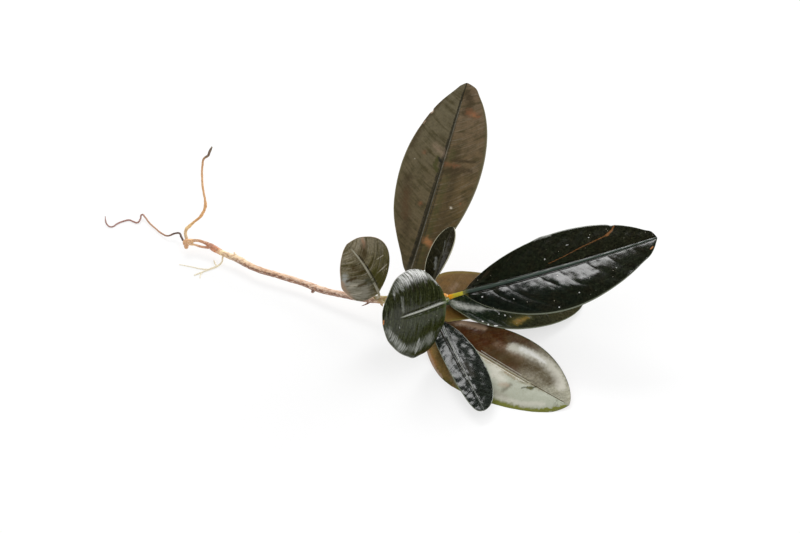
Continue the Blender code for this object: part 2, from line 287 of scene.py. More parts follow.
@dataclass(frozen=True)
class Mark:
    """A blotch, streak, spot or scar on a leaf's upper face.

    Its line goes through points along and across the leaf. It is as wide as width at its first point and
    end_width at its last. Soft says how blurred its edge is, and drift how ragged. Some marks are painted
    highlights, sheens or shade rather than the leaf's own colour.
    """

    tint: Tint
    line: tuple[tuple[float, float], ...]
    width: float
    strength: float = 1.0
    soft: float = 0.5
    end_width: float | None = None
    drift: float = 0.35

    def cover(self, along: np.ndarray, across: np.ndarray) -> np.ndarray:
        """Says how fully the mark covers each place of a leaf.

        Args:
            along: The places along the leaf.
            across: The places across it.

        Returns:
            The cover at each place, from 0 to the mark's strength.
        """
        points = np.array(self.line if len(self.line) > 1 else self.line * 2, float)
        last_width = self.width if self.end_width is None else self.end_width
        widths = np.linspace(self.width, last_width, len(points))
        cover = np.zeros_like(along)
        for start, end, wide, narrow in zip(points, points[1:], widths, widths[1:]):
            step = end - start
            run = (along - start[0]) * step[0] + (across - start[1]) * step[1]
            share = np.clip(run / max(step @ step, TINY), 0, 1)
            away = np.hypot(along - start[0] - share * step[0], across - start[1] - share * step[1])
            reach = (wide + (narrow - wide) * share) / 2
            inside = (reach * (1 + self.soft) - away) / (reach * 2 * self.soft + TINY)
            cover = np.maximum(cover, smooth(inside))
        return cover * self.strength


def specks(tint: Tint, *spots: tuple[float, float, float]) -> tuple[Mark, ...]:
    """Makes round specks, each from its place along and across the leaf and its width."""
    return tuple(Mark(tint, ((along, across),), width) for along, across, width in spots)


@dataclass(frozen=True)
class Half:
    """One half of a blade.

    It has its greatest width, and powers that say how it widens and narrows. Lift is how much steeper it
    leaves the midrib than the leaf's fold, and curl is how far its margin turns. Its bulges are places
    along the margin, how far the margin stands out there, and over what length. Its veins are the places
    along the midrib where its side veins start.
    """

    width: float
    rise: float
    fall: float
    lift: float = 0.0
    curl: float = 0.0
    bulges: tuple[tuple[float, float, float], ...] = ()
    veins: tuple[float, ...] = ()

    TIP_LENGTH = 1.2

    def at(self, shares: np.ndarray, blade: float) -> np.ndarray:
        """Works out the half's width.

        Args:
            shares: The shares of the blade's length.
            blade: The blade's length.

        Returns:
            The width at each share.
        """
        inside = np.clip(shares, 0, 1)
        widest = self.rise / (self.rise + self.fall)
        most = widest**self.rise * (1 - widest) ** self.fall
        width = self.width * inside**self.rise * (1 - inside) ** self.fall / most
        tip = np.sqrt(np.clip((1 - inside) * blade / self.TIP_LENGTH, 0, 1))
        for place, height, length in self.bulges:
            width = width + height * tip * np.exp(-(((shares * blade - place) / length) ** 2))
        return np.where(shares > 0, width, 0.0)


@dataclass(frozen=True)
class LeafFinish:
    """The colours and gloss of one leaf, from its stalk to its tip and from its midrib to its rim.

    A pattern has its scale, its detail and its roughness. A drawn-out one has two scales: how often it
    changes from one side vein to the next, and how often along a vein. Two numbers of a mask are where
    it starts and where it is full. Heights are in metres.
    """

    base: Colour
    tip: Colour
    right_base: Colour
    right_tip: Colour
    mottle: Colour
    stripe: Colour
    margin: Colour
    # rim: where pale, a painted highlight of light grazing the margin; the red-brown leaf's dark rim is its
    # own colour
    rim: Colour
    midrib: Colour
    stalk: Colour
    stalk_foot: Colour
    under: Colour
    roughness: float
    gloss: float = 0.5
    mottling: float = 0.5
    striping: float = 0.4
    left_striping: float = 1.0
    speckling: float = 0.0
    margin_share: float = 0.10
    grade_from: float = 0.1
    grade_to: float = 0.9
    relief: float = 1.0
    unevenness: float = 0.12
    graining: float = 1.5
    streaky: float = 0.5
    breakup: float = 2.2
    rim_from: float = 0.968
    stalk_fade: float = 0.09
    rib_base: float = 0.55
    rib_tip: float = 0.17
    rib_end: float = 1.1

    CLOUDS = (0.16, 4.0)
    PATCHES = (0.32, 5.0, 0.6)
    PATCH_STREAKS = (0.9, 0.12, 4.0, 0.6)
    PATCH_MASK = (0.44, 0.62)
    STRIPES = (2.2, 0.16, 3.0, 0.6)
    STRIPE_MASK = (0.50, 0.68)
    GRAINS = (1.6, 5.0, 0.7)
    RAGGED = (1.4, 4.0, 0.65)
    MARK_STREAKS = (1.9, 0.22, 4.0, 0.65)
    UNDER_PATCHES = (0.5, 4.0)
    UNDER_MASK = (0.35, 0.7)
    UNDER_MOTTLING = 0.5
    DULL_CLOUDS = (0.45, 4.0, 0.6)
    WRINKLES = (2.6, 0.35, 3.0, 0.6)
    PORES = (5.0, 3.0, 0.6)
    GRADE_DRIFT = 0.5
    HALVES_MASK = (-0.3, 0.3)
    EDGE_DRIFT = 0.08
    EDGE_FADE = 0.3
    EDGE_STRENGTH = 0.8
    RIM_BLUR = 0.017
    RIB_MASK = (-0.12, 0.10)
    RIB_FADE = 0.10
    RIB_STRENGTH = 0.9
    DOT_CELLS = 0.62
    DOT_MASK = (0.055, 0.085)
    DOT_CLOUDS = (0.22, 2.0)
    DOT_CLOUD_MASK = (0.42, 0.60)
    FOOT_MASK = (-1.05, -0.55)
    STALK_END = -0.06
    FACE_MASK = (-0.2, 0.2)
    WRINKLE_HEIGHT = 0.000016
    PORE_HEIGHT = 0.000004
    PORE_DULLING = 0.06
    MARK_DULLING = 0.12
    DOT_DULLING = 0.3

    @staticmethod
    def drawn_out(tree: Tree, flat: Wire, ribs: Wire, pattern: tuple[float, float, float, float]) -> Wire:
        """Reads a pattern that is drawn out along the side veins.

        Args:
            tree: The material's tree.
            flat: The place along and across the leaf.
            ribs: Where the side vein of a place starts, the share across the half, and that of the length.
            pattern: The drawn-out pattern.

        Returns:
            Its value, from 0 to 1.
        """
        by_vein, along_vein, detail, roughness = pattern
        spot = tree.place(tree.part(ribs, "X") * by_vein, abs(tree.part(flat, "Y")) * along_vein)
        return tree.grain(spot, 1.0, detail, roughness)

    def streaked(self, plain: Wire, drawn: Wire) -> Wire:
        """Blends a plain pattern with a drawn-out one."""
        return plain * (1.0 - self.streaky) + drawn * self.streaky

    def upper(self, tree: Tree, flat: Wire, ribs: Wire) -> Wire:
        """Works out the upper face's colour between its midrib and its margin.

        Args:
            tree: The material's tree.
            flat: The place along and across the leaf.
            ribs: Where the side vein of a place starts, the share across the half, and that of the length.

        Returns:
            The colour.
        """
        drift = (tree.grain(flat, *self.CLOUDS) - 0.5) * self.GRADE_DRIFT
        grade = tree.between(tree.part(ribs, "Z") + drift, self.grade_from, self.grade_to)
        left = tree.mix(grade, self.base, self.tip)
        right = tree.mix(grade, self.right_base, self.right_tip)
        side = tree.between(tree.part(flat, "Y"), *self.HALVES_MASK)
        colour = tree.mix(side, left, right)
        drawn = self.drawn_out(tree, flat, ribs, self.PATCH_STREAKS)
        patches = tree.between(self.streaked(tree.grain(flat, *self.PATCHES), drawn), *self.PATCH_MASK)
        colour = tree.mix(patches * self.mottling, colour, self.mottle)
        stripes = tree.between(self.drawn_out(tree, flat, ribs, self.STRIPES), *self.STRIPE_MASK)
        striping = side * (1.0 - self.left_striping) + self.left_striping
        colour = tree.mix(stripes * striping * self.striping, colour, self.stripe)
        grains = tree.grain(flat, *self.GRAINS) * 2.0
        return tree.shade(colour, grains.maths("POWER", grains, self.graining))

    def lined(self, tree: Tree, colour: Wire, flat: Wire, ribs: Wire, ragged: Wire) -> Wire:
        """Lays the margin, the rim and the midrib over the upper face's colour.

        Args:
            tree: The material's tree.
            colour: The colour so far.
            flat: The place along and across the leaf.
            ribs: Where the side vein of a place starts, the share across the half, and that of the length.
            ragged: A pattern that makes the margin uneven.

        Returns:
            The colour.
        """
        share = tree.part(ribs, "Y")
        length = tree.part(ribs, "Z")
        uneven = share + (ragged - 0.5) * self.EDGE_DRIFT
        edge = tree.between(uneven, 1 - self.margin_share, 1 - self.margin_share * self.EDGE_FADE)
        colour = tree.mix(edge * self.EDGE_STRENGTH, colour, self.margin)
        # a thin line at the very margin; its pale colour on most leaves is a painted highlight
        on_rim = tree.between(share, self.rim_from, self.rim_from + self.RIM_BLUR)
        colour = tree.mix(on_rim, colour, self.rim)
        rib_width = self.rib_base - (self.rib_base - self.rib_tip) * length
        on_rib = 1.0 - tree.between(abs(tree.part(flat, "Y")) - rib_width, *self.RIB_MASK)
        on_rib = on_rib * (1.0 - tree.between(length, self.rib_end - self.RIB_FADE, self.rib_end))
        return tree.mix(on_rib * self.RIB_STRENGTH, colour, self.midrib)

    def with_stalk(self, tree: Tree, upper: Wire, flat: Wire, length: Wire) -> Wire:
        """Joins the upper face's colour with those of the underside and the stalk.

        Args:
            tree: The material's tree.
            upper: The upper face's colour.
            flat: The place along and across the leaf, and the face.
            length: The share of the blade's length, below 0 on the stalk.

        Returns:
            The colour.
        """
        stalk = tree.mix(tree.between(length, *self.FOOT_MASK), self.stalk_foot, self.stalk)
        on_blade = tree.between(length, self.STALK_END, self.stalk_fade)
        patches = tree.between(tree.grain(flat, *self.UNDER_PATCHES), *self.UNDER_MASK)
        below = tree.mix(patches * self.UNDER_MOTTLING, self.under, self.mottle)
        above = tree.mix(on_blade, stalk, upper)
        below = tree.mix(on_blade, stalk, below)
        return tree.mix(tree.between(tree.part(flat, "Z"), *self.FACE_MASK), below, above)

    def material(self, name: str) -> bpy.types.Material:
        """Makes the leaf's material.

        Args:
            name: The leaf's name.

        Returns:
            The material.
        """
        tree = Tree(name)
        flat = tree.attribute("flat")
        ribs = tree.attribute("ribs")
        marks = tree.attribute("marks", "Color")
        covered = tree.attribute("marks", "Alpha")
        ragged = tree.grain(flat, *self.RAGGED)
        broken = self.streaked(ragged, self.drawn_out(tree, flat, ribs, self.MARK_STREAKS))
        marked = tree.between(covered * (1.0 + (broken - 0.5) * self.breakup), 0.0, 1.0)
        dots = 1.0 - tree.between(tree.cells(flat, self.DOT_CELLS), *self.DOT_MASK)
        dotty = tree.between(tree.grain(flat, *self.DOT_CLOUDS), *self.DOT_CLOUD_MASK)
        dotted = dots * dotty * self.speckling

        colour = self.lined(tree, self.upper(tree, flat, ribs), flat, ribs, ragged)
        colour = tree.mix(marked, colour, marks)
        colour = tree.mix(dotted, colour, Tint.PALE_SPECK_AND_GLINT.value)
        colour = self.with_stalk(tree, colour, flat, tree.part(ribs, "Z"))

        pores = tree.grain(flat, *self.PORES)
        wrinkles = self.drawn_out(tree, flat, ribs, self.WRINKLES)
        normal = tree.bump(wrinkles, self.WRINKLE_HEIGHT * self.relief)
        normal = tree.bump(pores, self.PORE_HEIGHT * self.relief, normal)
        dull = self.roughness + (tree.grain(flat, *self.DULL_CLOUDS) - 0.5) * self.unevenness
        dull = dull + (pores - 0.5) * self.PORE_DULLING
        dull = dull + marked * self.MARK_DULLING + dotted * self.DOT_DULLING
        return tree.finish(Base_Color=colour, Roughness=dull, Normal=normal, Specular_IOR_Level=self.gloss)


@dataclass(frozen=True)
class Surface:
    """The points of a leaf's or a strand's skin as rings of corners, with two notes on each corner.

    Of a leaf, flat is the place along and across it and the face, and ribs is where the side vein of
    that place starts, the share across the half, and the share of the blade's length.
    """

    rings: np.ndarray
    flat: np.ndarray
    ribs: np.ndarray

    CAP_RADIUS = 0.001
    CAP_MIDDLE = 0.002

    def mesh(self, name: str) -> bpy.types.Mesh:
        """Joins the rings into one closed skin and stores the notes on each corner.

        Args:
            name: The mesh's name.

        Returns:
            The mesh.
        """
        count, corners, _ = self.rings.shape
        number = np.arange(count * corners).reshape(count, corners)
        after = np.roll(number, -1, axis=1)
        quads = np.stack((number[:-1], after[:-1], after[1:], number[1:]), axis=-1).reshape(-1, 4)
        faces = [*quads.tolist(), number[0, ::-1].tolist(), number[-1].tolist()]
        mesh = bpy.data.meshes.new(name)
        mesh.from_pydata(((self.rings.reshape(-1, 3) + CROWN) * MM).tolist(), [], faces)
        mesh.shade_smooth()
        for key, values in (("flat", self.flat), ("ribs", self.ribs)):
            stored = mesh.attributes.new(key, "FLOAT_VECTOR", "POINT")
            stored.data.foreach_set("vector", values.reshape(-1).astype(np.float32))
        self.unroll(mesh, count, corners)
        return mesh

    def unroll(self, mesh: bpy.types.Mesh, count: int, corners: int) -> None:
        """Lays the skin out flat: along the rings one way, and round each ring the other.

        Args:
            mesh: The skin.
            count: How many rings it has.
            corners: How many corners each ring has.
        """
        ring, corner = np.meshgrid(np.arange(count - 1), np.arange(corners), indexing="ij")
        right = np.stack((ring, ring, ring + 1, ring + 1), axis=-1) / (count - 1)
        up = np.stack((corner, corner + 1, corner + 1, corner), axis=-1) / corners
        sides = np.stack((right, up), axis=-1).reshape(-1, 2)
        round_ring = np.arange(corners) * 2 * pi / corners
        cap = np.stack((np.cos(round_ring), np.sin(round_ring)), axis=-1)
        cap = cap * self.CAP_RADIUS + self.CAP_MIDDLE
        laid = mesh.uv_layers.new(name="OFBake")
        laid.uv.foreach_set("vector", np.concatenate((sides, cap, cap)).astype(np.float32).reshape(-1))


@dataclass
class Leaf:
    """A leaf with its stalk, as one skin.

    The stalk leaves the stem at joint and bends into the blade at base. There the blade heads off
    anticlockwise from +X, climbing above the horizontal and rolled about its own line. Over its length it
    droops away from its upper face and sways to its right. Each half leaves the midrib at the fold angle,
    which changes by arch on the way to the margin. Side veins leave the midrib a pitch apart. Lean, bow
    and skew say how they slant, how they bend, and how their slant differs from half to half. Quilting is
    how high the leaf swells between them, and streaks how high it does along them. Hammered is how deep
    its dents are, and hammer_marks how close. A pillow has its place along and across, height and reach.
    Waves is how far the margin rises and falls.
    """

    name: str
    node: str
    joint: Place
    base: Place
    heading: float
    climb: float
    roll: float
    blade: float
    left: Half
    right: Half
    droop: float
    sway: float
    fold: float
    arch: float
    finish: LeafFinish
    marks: tuple[Mark, ...] = ()
    pitch: float = 3.0
    lean: float = 0.45
    bow: float = 0.25
    skew: float = 0.0
    quilting: float = 0.10
    streaks: float = 0.02
    hammered: float = 0.03
    hammer_marks: float = 0.5
    pillows: tuple[tuple[float, float, float, float], ...] = ()
    waves: float = 0.15
    rib_height: float = 0.16
    rib_width: float = 0.45
    keel: float = 0.40
    thickness: float = 0.50
    tip_thickness: float = 0.28
    stalk_radius: float = 0.60
    sheath_radius: float = 0.75
    rib_end: float = 1.1
    half_corners: int = 40
    seed: float = 0.0

    BLADE_STEP = 0.20
    BENDS = 256
    HALVINGS = 7
    SLOPE_STEPS = 400
    CURL_POWER = 5
    CROWDING = 0.5
    STALK_STEPS = 18
    STALK_REACH = 0.5
    STALK_TO_BLADE = 0.10
    SHEATH_FROM = 0.45
    SHEATH_LENGTH = 0.6
    ROOT_DEPTH = 0.9
    TIP_RADIUS = 0.15
    EDGE_POWER = 28
    BOWING = 6

    VEIN_WANDER = 1.2
    VEIN_WANDER_SCALE = 0.13
    VEIN_SHARPNESS = 0.7
    VEIN_DEPTH = 0.6
    QUILT_SCALE = 0.21
    QUILT_LEAST = 0.65
    QUILT_CHANGE = 0.7
    STREAK_SCALE = 0.8
    STREAK_STRETCH = 5.0
    WAVE_SCALE = 0.085
    RIB_SHARE = 0.12
    EDGE_SHARE = 0.16
    EDGE_REST = 0.15
    DENT_SHARE = 0.10
    PILLOW_SHARE = 0.15

    RIB_TAPER = 0.7
    RIB_FADE = 0.2
    RIB_NARROWING = 0.6
    GROOVE_DEPTH = 0.8
    GROOVE_PLACE = 1.9
    GROOVE_SHARPNESS = 1.5
    KEEL_WIDTH = 1.25
    RIM_HEIGHT = 0.05
    RIM_PLACE = 0.965
    RIM_WIDTH = 0.02

    DRIFT_SCALE = 1.1
    FINE_DRIFT_SCALE = 2.7
    FINE_DRIFT = 0.5
    MOST_DRIFT = 1.6

    def midline(self) -> tuple[np.ndarray, np.ndarray, np.ndarray]:
        """Follows the blade's midrib.

        Returns:
            The places, the forward directions and the upward directions at even steps.
        """
        heading = radians(self.heading)
        climb = radians(self.climb)
        forward = Vector((cos(climb) * cos(heading), cos(climb) * sin(heading), sin(climb)))
        unrolled = Vector((-sin(climb) * cos(heading), -sin(climb) * sin(heading), cos(climb)))
        upward = Matrix.Rotation(radians(self.roll), 3, forward) @ unrolled
        place = Vector(self.base)
        rows = [(*place, *forward, *upward)]
        for _ in range(self.BENDS):
            pitched = Matrix.Rotation(-radians(self.droop) / self.BENDS, 3, forward.cross(upward))
            turned = Matrix.Rotation(-radians(self.sway) / self.BENDS, 3, upward)
            after = (pitched @ turned @ forward).normalized()
            place = place + (forward + after).normalized() * (self.blade / self.BENDS)
            upward = pitched @ turned @ upward
            upward = (upward - after * after.dot(upward)).normalized()
            forward = after
            rows.append((*place, *forward, *upward))
        table = np.array(rows)
        return table[:, :3], table[:, 3:6], table[:, 6:]

    def stalk(self, forward: np.ndarray, upward: np.ndarray) -> tuple[np.ndarray, np.ndarray, np.ndarray]:
        """Follows the stalk's middle from inside the stem to the blade.

        Args:
            forward: The blade's direction at its base.
            upward: The blade's upward direction there.

        Returns:
            The places, the forward directions and the upward directions.
        """
        joint = np.array(self.joint)
        base = np.array(self.base)
        bend = base - forward * np.linalg.norm(base - joint) * self.STALK_REACH
        share = (np.arange(self.STALK_STEPS) / self.STALK_STEPS)[:, None]
        places = joint * (1 - share) ** 2 + bend * 2 * share * (1 - share) + base * share**2
        ahead = (bend - joint) * (1 - share) + (base - bend) * share
        ahead /= np.linalg.norm(ahead, axis=1, keepdims=True)
        buried = joint - ahead[0] * self.ROOT_DEPTH
        places = np.vstack((buried, places))
        ahead = np.vstack((ahead[0], ahead))
        level = upward - ahead * (ahead @ upward)[:, None]
        return places, ahead, level / np.linalg.norm(level, axis=1, keepdims=True)

    def stations(self) -> tuple[np.ndarray, np.ndarray, np.ndarray, np.ndarray]:
        """Lists the stations of the whole leaf.

        Returns:
            The places, forward and upward directions, and shares of the length: below 0 on the stalk.
        """
        places, ahead, up = self.midline()
        steps = round(self.blade / self.BLADE_STEP)
        close = 0.5 ** np.arange(1, self.HALVINGS + 1) / steps
        along = np.unique(np.concatenate((np.linspace(0, 1, steps + 1), close, 1 - close)))
        even = np.linspace(0, 1, self.BENDS + 1)
        rows = [
            np.stack([np.interp(along, even, line[:, axis]) for axis in range(3)], 1)
            for line in (places, ahead, up)
        ]
        stalk = self.stalk(ahead[0], up[0])
        foot = -1 - self.ROOT_DEPTH / np.linalg.norm(np.array(self.base) - np.array(self.joint))
        shares = np.concatenate(((foot,), np.arange(self.STALK_STEPS) / self.STALK_STEPS - 1, along))
        return *(np.vstack((first, then)) for first, then in zip(stalk, rows)), shares

    def section(self, half: Half) -> tuple[np.ndarray, np.ndarray, np.ndarray, np.ndarray]:
        """Bends one half of the blade's section.

        Args:
            half: The half.

        Returns:
            The shares across, and there the reach outward and upward for a half of width 1, and the slope.
        """
        even = np.arange(self.half_corners + 1) / self.half_corners
        shares = even - self.CROWDING * np.sin(2 * pi * even) / (2 * pi)
        fine = np.linspace(0, 1, self.SLOPE_STEPS + 1)
        turn = (self.arch - half.lift) * fine + half.curl * fine**self.CURL_POWER
        slope = np.radians(self.fold + half.lift + turn)
        between = (slope[1:] + slope[:-1]) / 2
        out = np.concatenate(((0,), np.cumsum(np.cos(between)) / self.SLOPE_STEPS))
        up = np.concatenate(((0,), np.cumsum(np.sin(between)) / self.SLOPE_STEPS))
        return shares, *(np.interp(shares, fine, line) for line in (out, up, slope))

    def swell(self, half: Half, along: np.ndarray, across: np.ndarray, share: np.ndarray) -> np.ndarray:
        """Works out how far the skin stands above the plain blade: quilting, streaks, dents and waves.

        Args:
            half: The half.
            along: The places along the leaf.
            across: The places across it, negative on its left.
            share: The shares across the half.

        Returns:
            The heights.
        """
        def read(scale: float, shift: float, start: np.ndarray = along, stretch: float = 1.0) -> np.ndarray:
            """Reads smooth noise, drawn out along the side veins where it is given their starts."""
            spots = np.stack((start, across / stretch), -1).reshape(-1, 2)
            return rough(spots, scale, self.seed + shift).reshape(along.shape)

        ribs = self.rib_place(along, across)
        veins = np.array(half.veins or np.arange(self.pitch / 2, self.blade, self.pitch))
        wander = read(self.VEIN_WANDER_SCALE, 0.0) * self.VEIN_WANDER
        phase = np.interp(ribs + wander, veins, np.arange(len(veins)))
        between = np.abs(np.sin(pi * phase)) ** self.VEIN_SHARPNESS - self.VEIN_DEPTH
        held = smooth(share / self.RIB_SHARE) * smooth((1 - share) / self.EDGE_SHARE + self.EDGE_REST)
        uneven = self.QUILT_LEAST + self.QUILT_CHANGE * read(self.QUILT_SCALE, 5.0)
        swell = self.quilting * between * held * uneven
        swell += self.streaks * read(self.STREAK_SCALE, 7.0, ribs, self.STREAK_STRETCH) * held
        swell += self.hammered * read(self.hammer_marks, 9.0) * smooth(share / self.DENT_SHARE)
        inside = smooth(share / self.PILLOW_SHARE) * smooth((1 - share) / self.PILLOW_SHARE)
        for place, side, height, length in self.pillows:
            away = ((along - place) ** 2 + (across - side) ** 2) / length**2
            swell += height * np.exp(-away) * inside
        return swell + self.waves * read(self.WAVE_SCALE, 13.0) * share**2

    def rib_place(self, along: np.ndarray, across: np.ndarray) -> np.ndarray:
        """Says where the side veins through some places of the blade leave the midrib."""
        straight = along - np.abs(across) * self.lean - across * self.skew
        return straight - across**2 / self.blade * self.bow * self.BOWING

    def body(
        self, share: np.ndarray, opened: np.ndarray, length: np.ndarray, radius: np.ndarray
    ) -> np.ndarray:
        """Works out half the thickness of the plain blade and of the stalk.

        Args:
            share: The shares across the half.
            opened: How far the stalk has opened into the blade at each station.
            length: The share of the blade's length at each station.
            radius: The stalk's radius at each station.

        Returns:
            The half thickness.
        """
        thick = self.thickness + (self.tip_thickness - self.thickness) * length
        blade = opened * thick / 2 * np.sqrt(1 - share**self.EDGE_POWER)
        return blade + (1 - opened) * radius[:, None] * np.sqrt(1 - share**2)

    def midrib(
        self, across: np.ndarray, opened: np.ndarray, length: np.ndarray
    ) -> tuple[np.ndarray, np.ndarray]:
        """Shapes the midrib: a ridge or groove between two dips above, and a keel below.

        Args:
            across: The places across the leaf.
            opened: How far the stalk has opened into the blade at each station.
            length: The share of the blade's length at each station.

        Returns:
            The ridge's height and the keel's depth.
        """
        fade = 1 - smooth((length - self.rib_end + self.RIB_FADE) / self.RIB_FADE)
        taper = (1 - length * self.RIB_TAPER) * opened * fade
        away = np.abs(across) / (self.rib_width * (1 - length * self.RIB_NARROWING))
        dips = self.GROOVE_DEPTH * np.exp(-((away - self.GROOVE_PLACE) ** 2) * self.GROOVE_SHARPNESS)
        ridge = self.rib_height * taper * (np.exp(-(away**2)) - dips)
        return ridge, self.keel * taper * np.exp(-((away / self.KEEL_WIDTH) ** 2))

    def surface(self) -> Surface:
        """Works out the leaf's skin.

        Returns:
            The skin.
        """
        places, ahead, upward, shares = self.stations()
        sideways = np.cross(ahead, upward)[:, None]
        upward = upward[:, None]
        opened = smooth(shares / self.STALK_TO_BLADE)[:, None]
        length = np.clip(shares, 0, 1)[:, None]
        foot = smooth((-shares - self.SHEATH_FROM) / self.SHEATH_LENGTH)
        radius = self.stalk_radius + (self.sheath_radius - self.stalk_radius) * foot
        edge = radius + (self.TIP_RADIUS - radius) * smooth(shares)
        stalk_length = np.linalg.norm(np.array(self.base) - np.array(self.joint))
        along = np.where(shares > 0, shares * self.blade, shares * stalk_length)[:, None]
        columns = []
        for side, half in ((-1, self.left), (1, self.right)):
            share, out, up, slope = (row[None] for row in self.section(half))
            width = np.maximum(half.at(shares, self.blade), edge)[:, None]
            across = side * width * share
            reach = (width * (share * (1 - opened) + out * opened))[..., None]
            rise = (width * up * opened)[..., None]
            tilt = (slope * opened)[..., None]
            everywhere = np.broadcast_to(along, across.shape)
            swell = self.swell(half, everywhere, across, np.broadcast_to(share, across.shape)) * opened
            body = self.body(share, opened, length, radius)
            ridge, keel = self.midrib(across, opened, length)
            rim = self.RIM_HEIGHT * opened * np.exp(-(((share - self.RIM_PLACE) / self.RIM_WIDTH) ** 2))
            normal = upward * np.cos(tilt) - side * sideways * np.sin(tilt)
            middle = places[:, None] + side * sideways * reach + upward * rise
            top = middle + normal * (body + swell + ridge + rim)[..., None]
            bottom = middle + normal * (swell - body - keel)[..., None]
            ribs = self.rib_place(along, across)
            veins = np.stack(np.broadcast_arrays(ribs, share, shares[:, None]), -1)
            flats = [np.stack(np.broadcast_arrays(along, across, float(face)), -1) for face in (1, -1)]
            columns.append((top, bottom, flats, veins))
        return self.gather(*columns)

    @staticmethod
    def gather(left: tuple, right: tuple) -> Surface:
        """Puts the halves' columns in order round the leaf: across the upper face, then back below.

        Args:
            left: The left half's upper and lower points, places on the leaf, and places by vein.
            right: The same of the right half.

        Returns:
            The skin.
        """
        def round_leaf(upper: tuple, lower: tuple) -> np.ndarray:
            """Orders one kind of value round the leaf.

            Args:
                upper: The values of the upper face's left and right halves.
                lower: Those of the lower face's.

            Returns:
                The values, ring by ring.
            """
            over = np.concatenate((upper[0][:, :0:-1], upper[1]), 1)
            back = np.concatenate((lower[1][:, -2:0:-1], lower[0][:, :-1]), 1)
            return np.concatenate((over, back), 1)

        rings = round_leaf((left[0], right[0]), (left[1], right[1]))
        flat = round_leaf((left[2][0], right[2][0]), (left[2][1], right[2][1]))
        veins = round_leaf((left[3], right[3]), (left[3], right[3]))
        return Surface(rings, flat, veins)

    def paint(self, mesh: bpy.types.Mesh, flat: np.ndarray) -> None:
        """Stores the leaf's marks on its mesh as a colour and how fully it covers.

        Args:
            mesh: The leaf's mesh.
            flat: Each corner's place along and across the leaf, and its face.
        """
        rows = flat.reshape(-1, 3)
        spots = rows[:, :2]
        drift = [
            rough(spots, self.DRIFT_SCALE, self.seed + shift)
            + self.FINE_DRIFT * rough(spots, self.FINE_DRIFT_SCALE, self.seed + shift)
            for shift in (21.0, 23.0)
        ]
        colour = np.zeros((len(rows), 4))
        for mark in self.marks:
            ragged = mark.drift * min(mark.width, self.MOST_DRIFT)
            along, across = (spots[:, axis] + drift[axis] * ragged for axis in range(2))
            cover = mark.cover(along, across) * (rows[:, 2] > 0)
            total = cover + colour[:, 3] * (1 - cover)
            share = (cover / np.maximum(total, TINY))[:, None]
            colour[:, :3] = colour[:, :3] * (1 - share) + np.array(mark.tint.value) * share
            colour[:, 3] = total
        stored = mesh.attributes.new("marks", "FLOAT_COLOR", "POINT")
        stored.data.foreach_set("color", colour.astype(np.float32).reshape(-1))

    def build(self) -> bpy.types.Object:
        """Makes the leaf and gives it its finish.

        Returns:
            The leaf.
        """
        surface = self.surface()
        mesh = surface.mesh(self.name)
        self.paint(mesh, surface.flat)
        mesh.materials.append(self.finish.material(self.name))
        return settle(self.name, mesh, self.node)


def settle(name: str, mesh: bpy.types.Mesh, node: str) -> bpy.types.Object:
    """Puts a finished mesh in the scene in place of its solid.

    Args:
        name: The piece's name.
        mesh: Its mesh.
        node: The solid that it stands for.

    Returns:
        The piece.
    """
    piece = bpy.data.objects.new(name, mesh)
    bpy.context.scene.collection.objects.link(piece)
    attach(piece, BODY)
    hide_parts(node)
    log.info("%s: %d faces for %s", name, len(mesh.polygons), node)
    return piece


